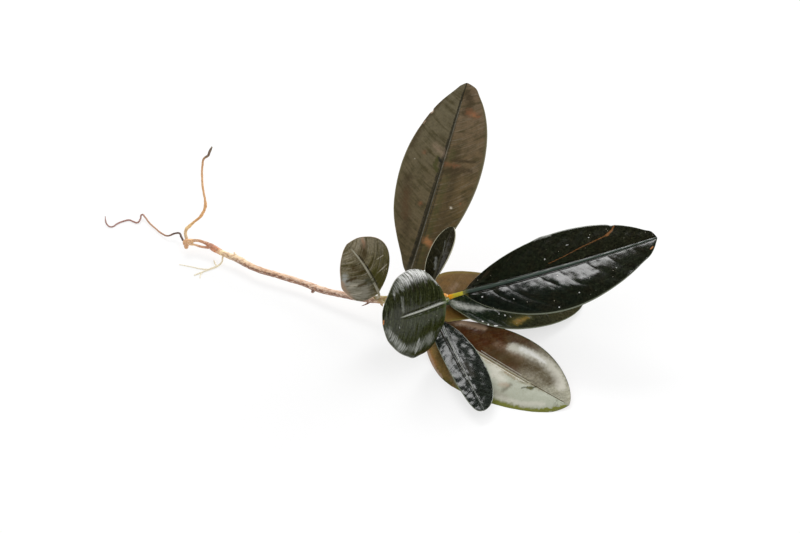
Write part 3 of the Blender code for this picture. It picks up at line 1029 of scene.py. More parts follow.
@dataclass(frozen=True)
class BarkFinish:
    """The colours of a stem or root by the share of its length, with darker flecks and paler scales.

    A pattern has its scale, its detail and its roughness. Two numbers of a mask are where it starts and
    where it is full. The side that faces down is darkened as painted shade. Heights are in metres.
    """

    colours: tuple[tuple[float, Colour], ...]
    fleck: Colour
    scale: Colour
    # the colour of painted shade on the side that faces down
    belly_shade: Colour = (0.0, 0.0, 0.0)
    flecking: float = 0.5
    scaling: float = 0.4
    fleck_scale: float = 2.2
    shading: float = 0.0
    roughness: float = 0.55

    CLOUDS = (0.8, 3.0)
    COLOUR_DRIFT = 0.03
    DRAWN_OUT = 0.75
    BELLY_ANGLE = 198.0
    BELLY_PATCHES = (1.4, 4.0, 0.65)
    BELLY_DRIFT = 1.6
    BELLY_MASK = (0.15, 0.75)
    BELLY_START = (0.12, 0.26)
    BELLY_END = (0.74, 0.80)
    FLECKS = (4.0, 0.65)
    FLECK_MASK = (0.50, 0.58)
    SCALES = (3.0, 0.6)
    SCALE_FINENESS = 1.5
    SCALE_MASK = (0.54, 0.62)
    FIBRES = (1.4, 4.0, 0.6)
    FIBRES_ALONG = 1.2
    FIBRES_AROUND = 9.0
    FIBRE_HEIGHT = 0.00012
    FIBRE_DULLING = 0.3
    PORES = (6.0, 3.0)
    PORE_HEIGHT = 0.00006

    def material(self, name: str) -> bpy.types.Material:
        """Makes the bark's material.

        Args:
            name: The piece's name.

        Returns:
            The material.
        """
        tree = Tree(name)
        strand = tree.attribute("strand")
        spot = tree.attribute("spot")
        length = tree.part(strand, "X")
        around = tree.part(strand, "Y")
        share = tree.part(strand, "Z")
        place = share + (tree.grain(spot, *self.CLOUDS) - 0.5) * self.COLOUR_DRIFT
        colour = tree.node("ShaderNodeValToRGB", {"stops": self.colours}, {"Fac": place})
        sockets = {0: tree.place(length * -self.DRAWN_OUT, 0.0), 1: spot}
        drawn = tree.node("ShaderNodeVectorMath", {"operation": "ADD"}, sockets)
        angle = around * (2 * pi) - radians(self.BELLY_ANGLE)
        patches = tree.grain(drawn, *self.BELLY_PATCHES) - 0.5
        facing = angle.maths("COSINE", angle) + patches * self.BELLY_DRIFT
        # painted shade: darkens the side that faces down, away from the ends
        shaded = tree.between(facing, *self.BELLY_MASK) * tree.between(share, *self.BELLY_START)
        shaded = shaded * (1.0 - tree.between(share, *self.BELLY_END)) * self.shading
        colour = tree.mix(shaded, colour, self.belly_shade)
        flecks = tree.between(tree.grain(drawn, self.fleck_scale, *self.FLECKS), *self.FLECK_MASK)
        colour = tree.mix(flecks * self.flecking, colour, self.fleck)
        scales = tree.grain(drawn, self.fleck_scale * self.SCALE_FINENESS, *self.SCALES)
        colour = tree.mix(tree.between(scales, *self.SCALE_MASK) * self.scaling, colour, self.scale)
        lines = tree.place(length * self.FIBRES_ALONG, around * self.FIBRES_AROUND)
        fibres = tree.grain(lines, *self.FIBRES)
        normal = tree.bump(fibres, self.FIBRE_HEIGHT)
        normal = tree.bump(tree.grain(spot, *self.PORES), self.PORE_HEIGHT, normal)
        dull = self.roughness + (fibres - 0.5) * self.FIBRE_DULLING
        return tree.finish(Base_Color=colour, Roughness=dull, Normal=normal)


@dataclass(frozen=True)
class Strand:
    """A round strand along a smooth curve through the places of its route.

    Each place comes with the strand's thickness there as a share of its radius. Knobs is how far its skin
    stands in and out, as a share of the radius, and knob_length is how long one knob is. The curve's
    handles are as long as the ones that Blender sets by itself.
    """

    route: Route
    radius: float
    step: float = 0.15
    sides: int = 28
    knobs: float = 0.10
    knob_length: float = 1.6
    seed: float = 0.0

    HANDLE = 1 / 2.5614
    ROUND_END = 5
    KNOB_REACH = 0.6

    def curve(self) -> tuple[np.ndarray, np.ndarray]:
        """Follows the route.

        Returns:
            The places at about even steps, and the radius at each.
        """
        points = np.array([place for place, _ in self.route], float)
        thick = np.array([share for _, share in self.route], float) * self.radius
        spans = np.diff(points, axis=0)
        lengths = np.linalg.norm(spans, axis=1)
        ways = spans / lengths[:, None]
        turns = np.vstack((ways[:1], ways[:-1] + ways[1:], ways[-1:]))
        turns /= np.linalg.norm(turns, axis=1, keepdims=True)
        places, radii = [], []
        for number, length in enumerate(lengths):
            steps = max(2, round(length / self.step))
            share = np.arange(steps) / steps
            reach = length * self.HANDLE
            handles = (
                points[number],
                points[number] + turns[number] * reach,
                points[number + 1] - turns[number + 1] * reach,
                points[number + 1],
            )
            weights = ((1 - share) ** 3, 3 * share * (1 - share) ** 2, 3 * share**2 * (1 - share), share**3)
            places.append(sum(weight[:, None] * handle for weight, handle in zip(weights, handles)))
            radii.append(thick[number] + (thick[number + 1] - thick[number]) * smooth(share))
        return np.vstack((*places, points[-1:])), np.concatenate((*radii, thick[-1:]))

    def skin(self) -> tuple[np.ndarray, np.ndarray]:
        """Sweeps a round section along the curve, with round ends.

        Returns:
            The rings of corners, and the length along the strand at each ring.
        """
        middle, radii = self.curve()
        ahead = np.gradient(middle, axis=0)
        ahead /= np.linalg.norm(ahead, axis=1, keepdims=True)
        length = np.concatenate(((0,), np.cumsum(np.linalg.norm(np.diff(middle, axis=0), axis=1))))
        turn = np.arange(1, self.ROUND_END) / self.ROUND_END * pi / 2
        middle = np.vstack((
            middle[0] - ahead[0] * radii[0] * np.cos(turn)[:, None],
            middle,
            middle[-1] + ahead[-1] * radii[-1] * np.cos(turn[::-1])[:, None],
        ))
        length = np.concatenate((np.full(len(turn), length[0]), length, np.full(len(turn), length[-1])))
        ahead = np.vstack((np.repeat(ahead[:1], len(turn), 0), ahead, np.repeat(ahead[-1:], len(turn), 0)))
        radii = np.concatenate((radii[0] * np.sin(turn), radii, radii[-1] * np.sin(turn[::-1])))
        across = self.carry(ahead)
        over = np.cross(ahead, across)
        angle = np.arange(self.sides) * 2 * pi / self.sides
        ways = across[:, None] * np.cos(angle)[:, None] + over[:, None] * np.sin(angle)[:, None]
        spots = (middle[:, None] + ways * self.KNOB_REACH).reshape(-1, 3)
        swell = 1 + self.knobs * rough(spots, 1 / self.knob_length, self.seed)
        reach = radii[:, None] * swell.reshape(len(middle), self.sides)
        return middle[:, None] + ways * reach[..., None], length

    @staticmethod
    def carry(ahead: np.ndarray) -> np.ndarray:
        """Carries a sideways direction along a curve with no twist.

        Args:
            ahead: The curve's directions.

        Returns:
            The sideways direction at each place.
        """
        side = np.cross(ahead[0], (0.0, 0.0, 1.0))
        sides = []
        for way in ahead:
            side = side - way * (way @ side)
            side = side / np.linalg.norm(side)
            sides.append(side)
        return np.array(sides)

    def mesh(self, name: str) -> bpy.types.Mesh:
        """Makes the strand's skin as a closed mesh that knows its place along and round the strand.

        Args:
            name: The mesh's name.

        Returns:
            The mesh.
        """
        rings, length = self.skin()
        around = np.arange(self.sides) / self.sides
        share = length / length[-1]
        flat = np.stack(np.broadcast_arrays(length[:, None], around[None], share[:, None]), -1)
        mesh = Surface(rings, flat, rings).mesh(name)
        for key, kept in (("flat", "strand"), ("ribs", "spot")):
            mesh.attributes[key].name = kept
        return mesh


def grown_together(name: str, strands: Iterable[Strand], cell: float) -> bpy.types.Mesh:
    """Grows several strands into one closed skin.

    Args:
        name: The mesh's name.
        strands: The strands, the main one first.
        cell: The size of the finest detail that is kept.

    Returns:
        The skin, with each corner's place along the main strand.
    """
    strands = tuple(strands)
    points, faces, count = [], [], 0
    for strand in strands:
        part = strand.mesh(name)
        points += [tuple(vertex.co) for vertex in part.vertices]
        faces += [tuple(number + count for number in face.vertices) for face in part.polygons]
        count += len(part.vertices)
        bpy.data.meshes.remove(part)
    joined = bpy.data.meshes.new(name)
    joined.from_pydata(points, [], faces)
    holder = bpy.data.objects.new(name, joined)
    bpy.context.scene.collection.objects.link(holder)
    remesh = holder.modifiers.new("grow", "REMESH")
    remesh.mode = "VOXEL"
    remesh.voxel_size = cell * MM
    bpy.context.view_layer.update()
    mesh = bpy.data.meshes.new_from_object(holder.evaluated_get(bpy.context.evaluated_depsgraph_get()))
    bpy.data.objects.remove(holder)
    bpy.data.meshes.remove(joined)
    mesh.name = name
    mesh.shade_smooth()
    follow(mesh, strands[0])
    return mesh


def follow(mesh: bpy.types.Mesh, strand: Strand) -> None:
    """Stores where each corner of a mesh lies along a strand.

    The corners are compared with the strand in blocks, so that it takes little memory.

    Args:
        mesh: The mesh.
        strand: The strand.
    """
    middle, _ = strand.curve()
    length = np.concatenate(((0,), np.cumsum(np.linalg.norm(np.diff(middle, axis=0), axis=1))))
    corners = np.zeros(len(mesh.vertices) * 3)
    mesh.vertices.foreach_get("co", corners)
    spots = corners.reshape(-1, 3) / MM - CROWN
    nearest = np.concatenate([
        ((block[:, None] - middle[None]) ** 2).sum(-1).argmin(1)
        for block in np.array_split(spots, SEARCH_BLOCKS)
    ])
    away = spots - middle[nearest]
    around = np.arctan2(away[:, 2], away[:, 1]) / (2 * pi)
    strands = np.stack((length[nearest], around, length[nearest] / length[-1]), -1)
    for key, values in (("strand", strands), ("spot", spots)):
        stored = mesh.attributes.new(key, "FLOAT_VECTOR", "POINT")
        stored.data.foreach_set("vector", values.astype(np.float32).reshape(-1))


BRONZE = LeafFinish(
    base=(0.118, 0.086, 0.036),
    tip=(0.130, 0.108, 0.056),
    right_base=(0.118, 0.076, 0.0190),
    right_tip=(0.150, 0.100, 0.050),
    mottle=(0.058, 0.044, 0.0090),
    stripe=(0.185, 0.142, 0.090),
    margin=(0.105, 0.088, 0.034),
    rim=(0.200, 0.170, 0.100),
    # dark midrib: painted shade in the sunken groove of the midrib
    midrib=(0.034, 0.029, 0.0110),
    stalk=(0.088, 0.070, 0.035),
    stalk_foot=(0.210, 0.158, 0.035),
    under=(0.210, 0.105, 0.070),
    roughness=0.50,
    striping=0.7,
    rib_base=0.8,
    rib_tip=0.22,
    mottling=0.8,
    graining=0.5,
    gloss=0.35,
    breakup=3.5,
    streaky=0.55,
    left_striping=0.25,
)
BLACK_GREEN = LeafFinish(
    base=(0.0079, 0.0114, 0.0053),
    tip=(0.0131, 0.0140, 0.0061),
    right_base=(0.0053, 0.0088, 0.0059),
    right_tip=(0.0114, 0.0140, 0.0066),
    mottle=(0.0140, 0.0105, 0.0053),
    stripe=(0.0131, 0.0158, 0.0088),
    margin=(0.0149, 0.0175, 0.0079),
    rim=(0.175, 0.193, 0.140),
    midrib=(0.050, 0.072, 0.058),
    stalk=(0.580, 0.500, 0.030),
    stalk_foot=(1.000, 0.420, 0.0100),
    under=(0.052, 0.060, 0.032),
    roughness=0.17,
    gloss=0.7,
    unevenness=0.06,
    speckling=0.8,
    rib_base=0.75,
    rib_tip=0.20,
    graining=2.6,
    stalk_fade=0.035,
)
SLATE_GREEN = replace(
    BLACK_GREEN,
    base=(0.0095, 0.0125, 0.0095),
    tip=(0.0095, 0.0120, 0.0080),
    right_base=(0.014, 0.018, 0.015),
    right_tip=(0.013, 0.016, 0.013),
    mottle=(0.022, 0.027, 0.023),
    stripe=(0.036, 0.042, 0.037),
    midrib=(0.075, 0.084, 0.070),
    striping=0.5,
    rim_from=0.94,
    rib_base=0.40,
    rib_tip=0.14,
    roughness=0.14,
    gloss=0.42,
)
DARK_GREEN = LeafFinish(
    base=(0.0085, 0.0160, 0.0095),
    tip=(0.034, 0.030, 0.0120),
    right_base=(0.0100, 0.0180, 0.0100),
    right_tip=(0.045, 0.040, 0.020),
    mottle=(0.024, 0.026, 0.0080),
    stripe=(0.022, 0.032, 0.020),
    margin=(0.038, 0.038, 0.0175),
    rim=(0.210, 0.228, 0.158),
    midrib=(0.0105, 0.021, 0.0105),
    stalk=(0.035, 0.070, 0.026),
    stalk_foot=(0.350, 0.210, 0.0175),
    under=(0.070, 0.070, 0.035),
    roughness=0.085,
    gloss=0.4,
    unevenness=0.05,
    speckling=0.8,
    graining=1.8,
    breakup=3.2,
    relief=0.6,
)
RED_BROWN = LeafFinish(
    base=(0.060, 0.020, 0.0050),
    # the pale grey-green tip colours are a painted sheen grading in from the red base
    tip=(0.360, 0.350, 0.270),
    right_base=(0.200, 0.130, 0.042),
    right_tip=(0.330, 0.345, 0.270),
    mottle=(0.105, 0.075, 0.028),
    stripe=(0.160, 0.130, 0.080),
    margin=(0.110, 0.100, 0.034),
    rim=(0.040, 0.040, 0.0140),
    midrib=(0.300, 0.290, 0.210),
    stalk=(0.280, 0.158, 0.052),
    stalk_foot=(0.350, 0.210, 0.052),
    under=(0.280, 0.123, 0.088),
    roughness=0.14,
    gloss=0.25,
    mottling=0.35,
    striping=0.15,
    grade_from=0.42,
    grade_to=0.92,
    rib_base=0.35,
    rib_tip=0.12,
    graining=0.9,
    streaky=0.15,
    relief=0.5,
    breakup=1.6,
    margin_share=0.06,
    rim_from=0.955,
)
ROUND_GREEN = LeafFinish(
    base=(0.020, 0.027, 0.0050),
    tip=(0.022, 0.025, 0.0110),
    right_base=(0.0160, 0.0190, 0.0060),
    right_tip=(0.0160, 0.0180, 0.0080),
    mottle=(0.032, 0.036, 0.0090),
    stripe=(0.060, 0.068, 0.038),
    margin=(0.021, 0.025, 0.0105),
    rim=(0.245, 0.245, 0.193),
    # silvery midrib: a painted highlight
    midrib=(0.360, 0.370, 0.320),
    stalk=(0.105, 0.140, 0.035),
    stalk_foot=(0.350, 0.210, 0.0175),
    under=(0.070, 0.070, 0.035),
    roughness=0.12,
    gloss=0.2,
    unevenness=0.06,
    speckling=1.0,
    rib_base=0.36,
    rib_tip=0.13,
    rib_end=0.76,
    striping=0.8,
    graining=1.8,
    streaky=0.9,
    breakup=6.0,
    relief=1.3,
)
OLIVE_BROWN = LeafFinish(
    base=(0.088, 0.077, 0.026),
    tip=(0.190, 0.162, 0.100),
    right_base=(0.090, 0.080, 0.0140),
    right_tip=(0.230, 0.195, 0.125),
    mottle=(0.052, 0.042, 0.0080),
    stripe=(0.320, 0.290, 0.220),
    margin=(0.105, 0.095, 0.049),
    rim=(0.385, 0.280, 0.193),
    midrib=(0.420, 0.400, 0.310),
    stalk=(0.290, 0.250, 0.150),
    stalk_foot=(0.160, 0.120, 0.030),
    under=(0.175, 0.123, 0.070),
    roughness=0.26,
    striping=0.7,
    rib_base=0.50,
    rib_tip=0.16,
    rib_end=0.94,
    mottling=0.9,
    graining=1.1,
    streaky=0.8,
    gloss=0.25,
    breakup=5.0,
)
YOUNG_GREEN = LeafFinish(
    base=(0.0100, 0.0095, 0.0036),
    tip=(0.023, 0.021, 0.0105),
    right_base=(0.0100, 0.0090, 0.0036),
    right_tip=(0.025, 0.021, 0.0123),
    mottle=(0.025, 0.023, 0.0088),
    stripe=(0.050, 0.048, 0.032),
    margin=(0.028, 0.028, 0.0158),
    # painted highlight along the margin
    rim=(0.455, 0.438, 0.315),
    midrib=(0.052, 0.049, 0.032),
    stalk=(0.088, 0.088, 0.035),
    stalk_foot=(0.350, 0.245, 0.035),
    under=(0.070, 0.070, 0.035),
    roughness=0.15,
    gloss=0.35,
    striping=0.6,
    graining=1.6,
    streaky=0.8,
    rim_from=0.93,
)
BACK_BROWN = LeafFinish(
    base=(0.158, 0.080, 0.0140),
    tip=(0.110, 0.070, 0.025),
    right_base=(0.160, 0.082, 0.0130),
    right_tip=(0.110, 0.070, 0.025),
    mottle=(0.098, 0.060, 0.0120),
    stripe=(0.190, 0.130, 0.065),
    margin=(0.175, 0.125, 0.024),
    rim=(0.260, 0.210, 0.060),
    midrib=(0.105, 0.061, 0.021),
    stalk=(0.210, 0.123, 0.035),
    stalk_foot=(0.420, 0.245, 0.035),
    under=(0.210, 0.105, 0.070),
    roughness=0.40,
    margin_share=0.16,
    mottling=0.7,
    graining=0.5,
    gloss=0.15,
)

LEAVES = (
    Leaf(
        name="tall_leaf",
        node="leaf_tall",
        joint=(-11.2, 1.0, 1.1),
        base=(-10.1, 4.5, 5.4),
        heading=64.7,
        climb=46.7,
        roll=-2.4,
        blade=61.0,
        left=Half(
            width=12.8,
            rise=0.91,
            fall=0.88,
            bulges=(
                (1.0, 0.9, 3.0), (17.0, 0.3, 6.0), (50.3, -0.3, 0.5), (53.0, 0.35, 6.0), (60.0, 0.35, 1.2),
            ),
        ),
        right=Half(width=13.0, rise=0.82, fall=0.66, bulges=((2.5, 1.6, 3.5), (59.8, 0.7, 1.5))),
        droop=9.6,
        sway=-4.3,
        fold=7,
        arch=-9,
        finish=BRONZE,
        seed=1.0,
        quilting=0.05,
        streaks=0.014,
        hammered=0.05,
        lean=0.34,
        rib_height=-0.30,
        rib_width=0.60,
        marks=(
            # painted shade on the walls of the sunken midrib, and below a painted highlight along it
            Mark(
                Tint.DARK,
                ((0.0, -1.0), (30.0, -0.8), (58.0, -0.3)),
                0.7, 0.65, 0.9, end_width=0.3, drift=0.05,
            ),
            Mark(
                Tint.DARK,
                ((0.0, 1.3), (25.0, 1.0), (52.0, 0.4)),
                0.8, 0.6, 0.9, end_width=0.2, drift=0.05,
            ),
            Mark(
                Tint.HAZE_SHEEN,
                ((2.0, 0.2), (36.0, 0.1), (55.0, 0.1)),
                0.50, 0.42, 0.8, end_width=0.3, drift=0.0,
            ),
            Mark(
                Tint.EARTH,
                ((4.0, 4.0), (20.0, 5.2), (32.0, 4.6), (40.0, 3.2)),
                6.0, 0.5, 1.0, end_width=3.0,
            ),
            # painted shade: an olive band where the fold darkens the right half beside the midrib
            Mark(Tint.OLIVE, ((1.0, 2.2), (14.0, 2.4), (27.0, 2.6), (39.0, 2.0)), 2.0, 0.5, 1.0),
            Mark(Tint.EARTH, ((57.5, 1.4), (54.0, 3.4), (51.5, 2.6)), 2.6, 0.75, 1.0),
            Mark(Tint.RUST, ((52.0, 3.4), (51.2, 6.6)), 1.8, 0.65, 1.0),
            Mark(Tint.ORANGE, ((51.4, 4.8), (51.1, 5.8)), 0.9, 0.2, 1.0),
            Mark(Tint.EARTH, ((33.2, 2.2), (34.6, 9.6)), 2.8, 0.8, 1.0, end_width=1.2),
            Mark(Tint.EARTH, ((36.4, 2.6), (37.4, 9.8)), 0.9, 0.8, 0.9),
            Mark(Tint.RUST, ((35.0, 1.2), (35.2, 5.6)), 1.5, 0.5, 1.0, end_width=0.8),
            Mark(Tint.PINK_SPOT_AND_SHEEN, ((39.8, -4.0), (38.0, -1.0)), 2.4, 0.35, 1.0),
            Mark(Tint.OLIVE, ((36.6, -2.0), (34.0, -2.2), (32.4, -1.2)), 1.3, 0.9, 0.8),
            Mark(Tint.DARK, ((36.4, -1.6), (35.4, -0.9)), 0.8, 0.9, 0.8),
            Mark(Tint.RUST, ((37.0, -6.5),), 1.5, 0.40, 1.0),
            Mark(Tint.RUST, ((21.6, -3.1),), 1.3, 0.6, 1.0),
            Mark(Tint.EARTH, ((28.5, -9.2), (21.0, -8.0), (12.0, -4.6)), 3.0, 0.6, 1.0),
            Mark(Tint.RUST, ((24.0, -8.6), (17.0, -6.6)), 2.6, 0.12, 1.0),
            Mark(Tint.EARTH, ((56.0, -5.4), (46.0, -9.8), (38.0, -11.2)), 1.8, 0.6, 1.0),
            Mark(Tint.PALE_SPECK_AND_GLINT, ((22.5, 6.8),), 0.8, 0.9),
            Mark(Tint.RUST, ((24.3, 9.3),), 0.8, 0.8, 0.9),
            Mark(Tint.ORANGE, ((11.3, 2.0), (10.0, 4.8)), 1.8, 0.65, 1.0),
            Mark(Tint.PINK_SPOT_AND_SHEEN, ((50.3, -7.9), (49.6, -8.2)), 0.8),
            Mark(Tint.PALE_SPECK_AND_GLINT, ((49.9, -8.0),), 0.4, 0.9),
            Mark(Tint.PINK_SPOT_AND_SHEEN, ((46.6, -9.3), (45.8, -9.6)), 0.45, 0.7, 0.6),
            Mark(Tint.PALE_SPECK_AND_GLINT, ((34.4, -8.9),), 0.4, 0.8, 0.6),
            Mark(Tint.PINK_SPOT_AND_SHEEN, ((0.8, -3.0), (6.0, -6.0)), 0.5, 0.8, 0.8),
            Mark(Tint.PINK_SPOT_AND_SHEEN, ((11.5, -8.2), (12.6, -8.6)), 0.4, 0.8, 0.8),
        ),
    ),
    Leaf(
        name="right_leaf",
        node="leaf_right",
        joint=(2.2, 0.1, 0.4),
        base=(6.1, 0.2, 1.8),
        heading=0.0,
        climb=17.7,
        roll=16.2,
        blade=60.1,
        left=Half(
            width=12.2,
            rise=0.79,
            fall=0.73,
            curl=14.0,
            bulges=((25.5, 0.3, 2.0), (47.6, -0.35, 0.8), (59.0, 0.7, 1.4)),
            veins=(3.0, 8.0, 13.0, 18.0, 23.5, 29.0, 35.0, 41.0, 47.0, 53.0, 58.0),
        ),
        right=Half(
            width=15.4,
            rise=0.85,
            fall=0.84,
            bulges=((53.0, 0.4, 5.0), (57.6, 1.2, 2.6)),
            veins=(3.5, 7.8, 12.5, 22.5, 28.5, 37.0, 44.0, 51.0, 58.0),
        ),
        droop=-6.0,
        sway=-1.7,
        fold=9,
        arch=-15,
        finish=BLACK_GREEN,
        seed=2.0,
        lean=0.70,
        quilting=0.13,
        streaks=0.012,
        hammered=0.05,
        rib_height=0.24,
        rib_width=0.60,
        half_corners=60,
        pillows=((36.3, 8.8, 0.42, 4.2), (29.3, 8.4, 0.38, 4.0), (51.0, 5.6, -0.17, 4.2)),
        marks=(
            Mark(
                Tint.SCAR,
                ((48.6, -8.6), (47.4, -7.0), (45.9, -6.1)),
                0.30, 1.0, 0.6, end_width=0.9, drift=0.15,
            ),
            Mark(
                Tint.SCAR,
                ((45.9, -6.0), (42.1, -5.3), (37.9, -4.6), (32.5, -3.3), (27.0, -2.2)),
                0.36, 0.9, 0.9, end_width=0.20, drift=0.1,
            ),
            *specks(
                Tint.WHITE_SPECK_AND_GLINT,
                (26.1, -4.1, 0.38), (46.6, 6.2, 0.30), (34.6, 11.1, 0.32), (27.9, 13.8, 0.36),
                (15.0, 7.0, 0.30), (5.7, 3.3, 0.40), (40.3, -7.1, 0.30),
            ),
            Mark(Tint.WHITE_SPECK_AND_GLINT, ((33.2, -6.6), (33.8, -6.6)), 0.22, 0.7),
            # painted highlight: silver flecks along the upper margin
            Mark(Tint.SILVER_HIGHLIGHT, ((24.0, -11.6), (26.5, -11.9), (29.0, -11.7)), 0.8, 0.6, 1.0),
            Mark(Tint.ORANGE, ((57.6, 3.3), (58.4, 2.7)), 0.4, 0.8, 0.6),
        ),
    ),
    Leaf(
        name="lower_right_leaf",
        node="leaf_right_lower",
        joint=(0.2, -0.4, -1.5),
        base=(1.7, -0.3, -1.7),
        heading=6.6,
        climb=-11.83,
        roll=1.4,
        blade=43.4,
        left=Half(width=11.6, rise=0.70, fall=0.50),
        right=Half(width=11.4, rise=0.57, fall=0.67, bulges=((2.2, -1.3, 2.6), (16.0, 0.45, 6.0))),
        droop=-4.2,
        sway=-12.8,
        fold=9,
        arch=-9,
        finish=DARK_GREEN,
        seed=3.0,
        quilting=0.03,
        streaks=0.010,
        hammered=0.04,
        marks=(
            # painted reflection: the silver band below the midrib near the base
            Mark(Tint.SILVER_HIGHLIGHT, ((1.0, 0.7), (5.0, 1.6), (9.0, 2.4)), 3.0, 0.8, 1.0),
            Mark(Tint.SILVER_HIGHLIGHT, ((9.0, 2.0), (15.3, 3.2), (21.0, 4.0)), 1.0, 0.6, 1.0, end_width=0.5),
            Mark(Tint.OLIVE, ((17.6, 9.0), (22.8, 6.2)), 3.6, 0.7, 1.0),
            Mark(Tint.YELLOW, ((18.8, 8.9), (20.4, 7.9), (22.4, 6.8)), 2.0, 0.65, 1.0, end_width=1.2),
            Mark(Tint.ORANGE, ((20.0, 8.2),), 1.0, 0.35, 1.0),
            Mark(Tint.WHITE_SPECK_AND_GLINT, ((12.0, 10.4), (12.8, 10.3)), 0.5),
            *specks(
                Tint.WHITE_SPECK_AND_GLINT,
                (10.2, 9.8, 0.6), (17.7, 6.1, 0.40), (16.2, 5.5, 0.45), (14.6, 4.9, 0.4), (8.8, 8.6, 0.45),
            ),
        ),
    ),
    Leaf(
        name="broad_front_leaf",
        node="leaf_front_broad",
        joint=(-7.2, -1.2, -1.9),
        base=(-4.4, -4.3, -5.2),
        heading=-43.0,
        climb=-2.9,
        roll=8.6,
        blade=52.2,
        left=Half(width=12.6, rise=0.88, fall=0.69, bulges=((32.0, 0.35, 12.0),)),
        right=Half(width=15.4, rise=0.73, fall=0.74, bulges=((44.0, 0.3, 6.0),), curl=-35.0),
        droop=1.9,
        sway=-6.6,
        fold=7,
        arch=-11,
        finish=RED_BROWN,
        seed=4.0,
        pitch=6.0,
        quilting=0.03,
        streaks=0.008,
        hammered=0.04,
        rib_height=0.10,
        rib_width=0.35,
        marks=(
            # painted sheen: a misty wash over the right half and sheen patches on it
            Mark(Tint.MIST_SHEEN, ((23.0, 7.0), (34.0, 6.4), (46.0, 3.0)), 12.0, 0.85, 0.25, end_width=6.0),
            Mark(Tint.SHEEN, ((27.0, 2.2), (31.0, 4.0)), 3.0, 0.7, 1.0),
            Mark(Tint.SHEEN, ((34.0, 10.0), (41.0, 7.8), (46.0, 4.2)), 1.4, 0.6, 1.0),
            # painted sheen: pink sheen near the base of the left half and a faint one further out
            Mark(Tint.PINK_SPOT_AND_SHEEN, ((2.0, -3.4), (9.0, -6.4), (15.0, -8.0)), 4.0, 1.0, 1.0, end_width=2.2),
            Mark(Tint.PINK_SPOT_AND_SHEEN, ((22.5, -5.6), (26.0, -6.0), (31.0, -5.6)), 2.6, 0.32, 1.0),
            # painted sheen along the left margin, with a white painted highlight at its brightest
            Mark(
                Tint.SHEEN,
                ((27.0, -7.4), (30.5, -8.2), (34.0, -8.8), (38.5, -8.6), (43.0, -7.0), (46.6, -4.0)),
                2.9, 1.1, 1.0,
            ),
            Mark(Tint.WHITE_SPECK_AND_GLINT, ((29.4, -8.5), (33.6, -8.8), (38.0, -8.4)), 1.6, 0.6, 1.0, end_width=0.8),
            Mark(Tint.EARTH, ((24.0, -2.6), (31.0, -3.8), (38.0, -5.0), (43.0, -3.8)), 4.2, 0.65, 1.0),
            Mark(Tint.MOSS, ((37.9, 3.0), (39.2, 1.6), (40.2, 1.1), (41.0, -0.1)), 0.5, 0.95, 0.6),
            Mark(Tint.OLIVE, ((39.2, 1.9), (40.0, 1.5)), 1.1, 0.95),
            # painted shade in a crease of the right half
            Mark(Tint.EARTH, ((34.2, 7.3), (34.6, 4.3)), 1.2, 0.5, 0.9),
            Mark(Tint.PINK_SPOT_AND_SHEEN, ((32.4, 5.8), (33.8, 4.8)), 1.4, 0.5, 1.0),
            # painted sheen: hazy streaks and a sheen stroke on the right half
            Mark(Tint.HAZE_SHEEN, ((27.4, 7.4), (31.6, 9.0), (36.0, 8.6)), 1.6, 0.55, 1.0),
            Mark(Tint.SHEEN, ((29.5, 11.0), (28.2, 7.4), (28.6, 4.4)), 1.3, 0.6, 1.0),
            Mark(Tint.SHEEN, ((20.0, 0.9), (37.0, 0.8)), 0.26, 0.9, 0.6, drift=0.0),
            Mark(Tint.SHEEN, ((20.0, -0.9), (35.0, -0.8)), 0.24, 0.6, 0.6, drift=0.0),
            Mark(Tint.EARTH, ((20.0, 0.45), (38.0, 0.4)), 0.22, 0.7, 0.6, drift=0.0),
            Mark(Tint.EARTH, ((20.0, -0.45), (38.0, -0.4)), 0.22, 0.7, 0.6, drift=0.0),
            Mark(Tint.EARTH, ((39.0, 0.05), (50.5, 0.05)), 0.36, 0.9, 0.6, end_width=0.24, drift=0.0),
            Mark(Tint.ORANGE, ((6.0, 8.4), (12.0, 11.5)), 2.4, 0.5, 1.0),
            Mark(Tint.OLIVE, ((10.0, 13.4), (20.0, 14.2)), 2.0, 0.7, 1.0),
            Mark(Tint.LIME, ((8.0, 9.6), (9.4, 10.6)), 0.9, 0.7, 0.8),
            Mark(
                Tint.PINK_SPOT_AND_SHEEN,
                ((7.0, 8.6), (10.6, 10.7), (13.0, 12.1), (17.0, 13.6)),
                0.9, 0.9, 0.8, end_width=0.5,
            ),
            Mark(
                Tint.LIME,
                (
                    (24.0, 13.4), (31.0, 12.6), (36.6, 11.6), (41.9, 9.8), (46.4, 6.9), (49.9, 3.2),
                    (51.6, 1.0),
                ),
                3.2, 1.1, 0.6, end_width=0.6,
            ),
        ),
    ),
    Leaf(
        name="narrow_front_leaf",
        node="leaf_front_narrow",
        joint=(-2.0, -1.3, -1.3),
        base=(-1.1, -6.1, -3.9),
        heading=-73.0,
        climb=-1.1,
        roll=-2.0,
        blade=37.8,
        left=Half(width=7.2, rise=0.82, fall=0.58, lift=-9.0, bulges=((4.5, 0.9, 5.0), (13.0, 0.4, 5.0))),
        right=Half(width=4.2, rise=0.15, fall=0.24, lift=-3.0),
        droop=4.4,
        sway=-3.6,
        fold=6,
        arch=-10,
        finish=SLATE_GREEN,
        seed=5.0,
        pitch=2.8,
        lean=0.6,
        quilting=0.045,
        streaks=0.02,
        hammered=0.11,
        hammer_marks=0.45,
        marks=(
            # painted highlight along the upper margin
            Mark(
                Tint.PALE_SPECK_AND_GLINT,
                ((0.8, -1.8), (4.2, -3.9), (8.5, -6.0), (14.0, -7.2)),
                0.45, 0.9, 0.6, drift=0.0,
            ),
            Mark(
                Tint.PALE_SPECK_AND_GLINT,
                ((8.0, 0.1), (14.0, 0.1), (30.0, 0.0)),
                0.30, 0.22, 0.9, end_width=0.2, drift=0.0,
            ),
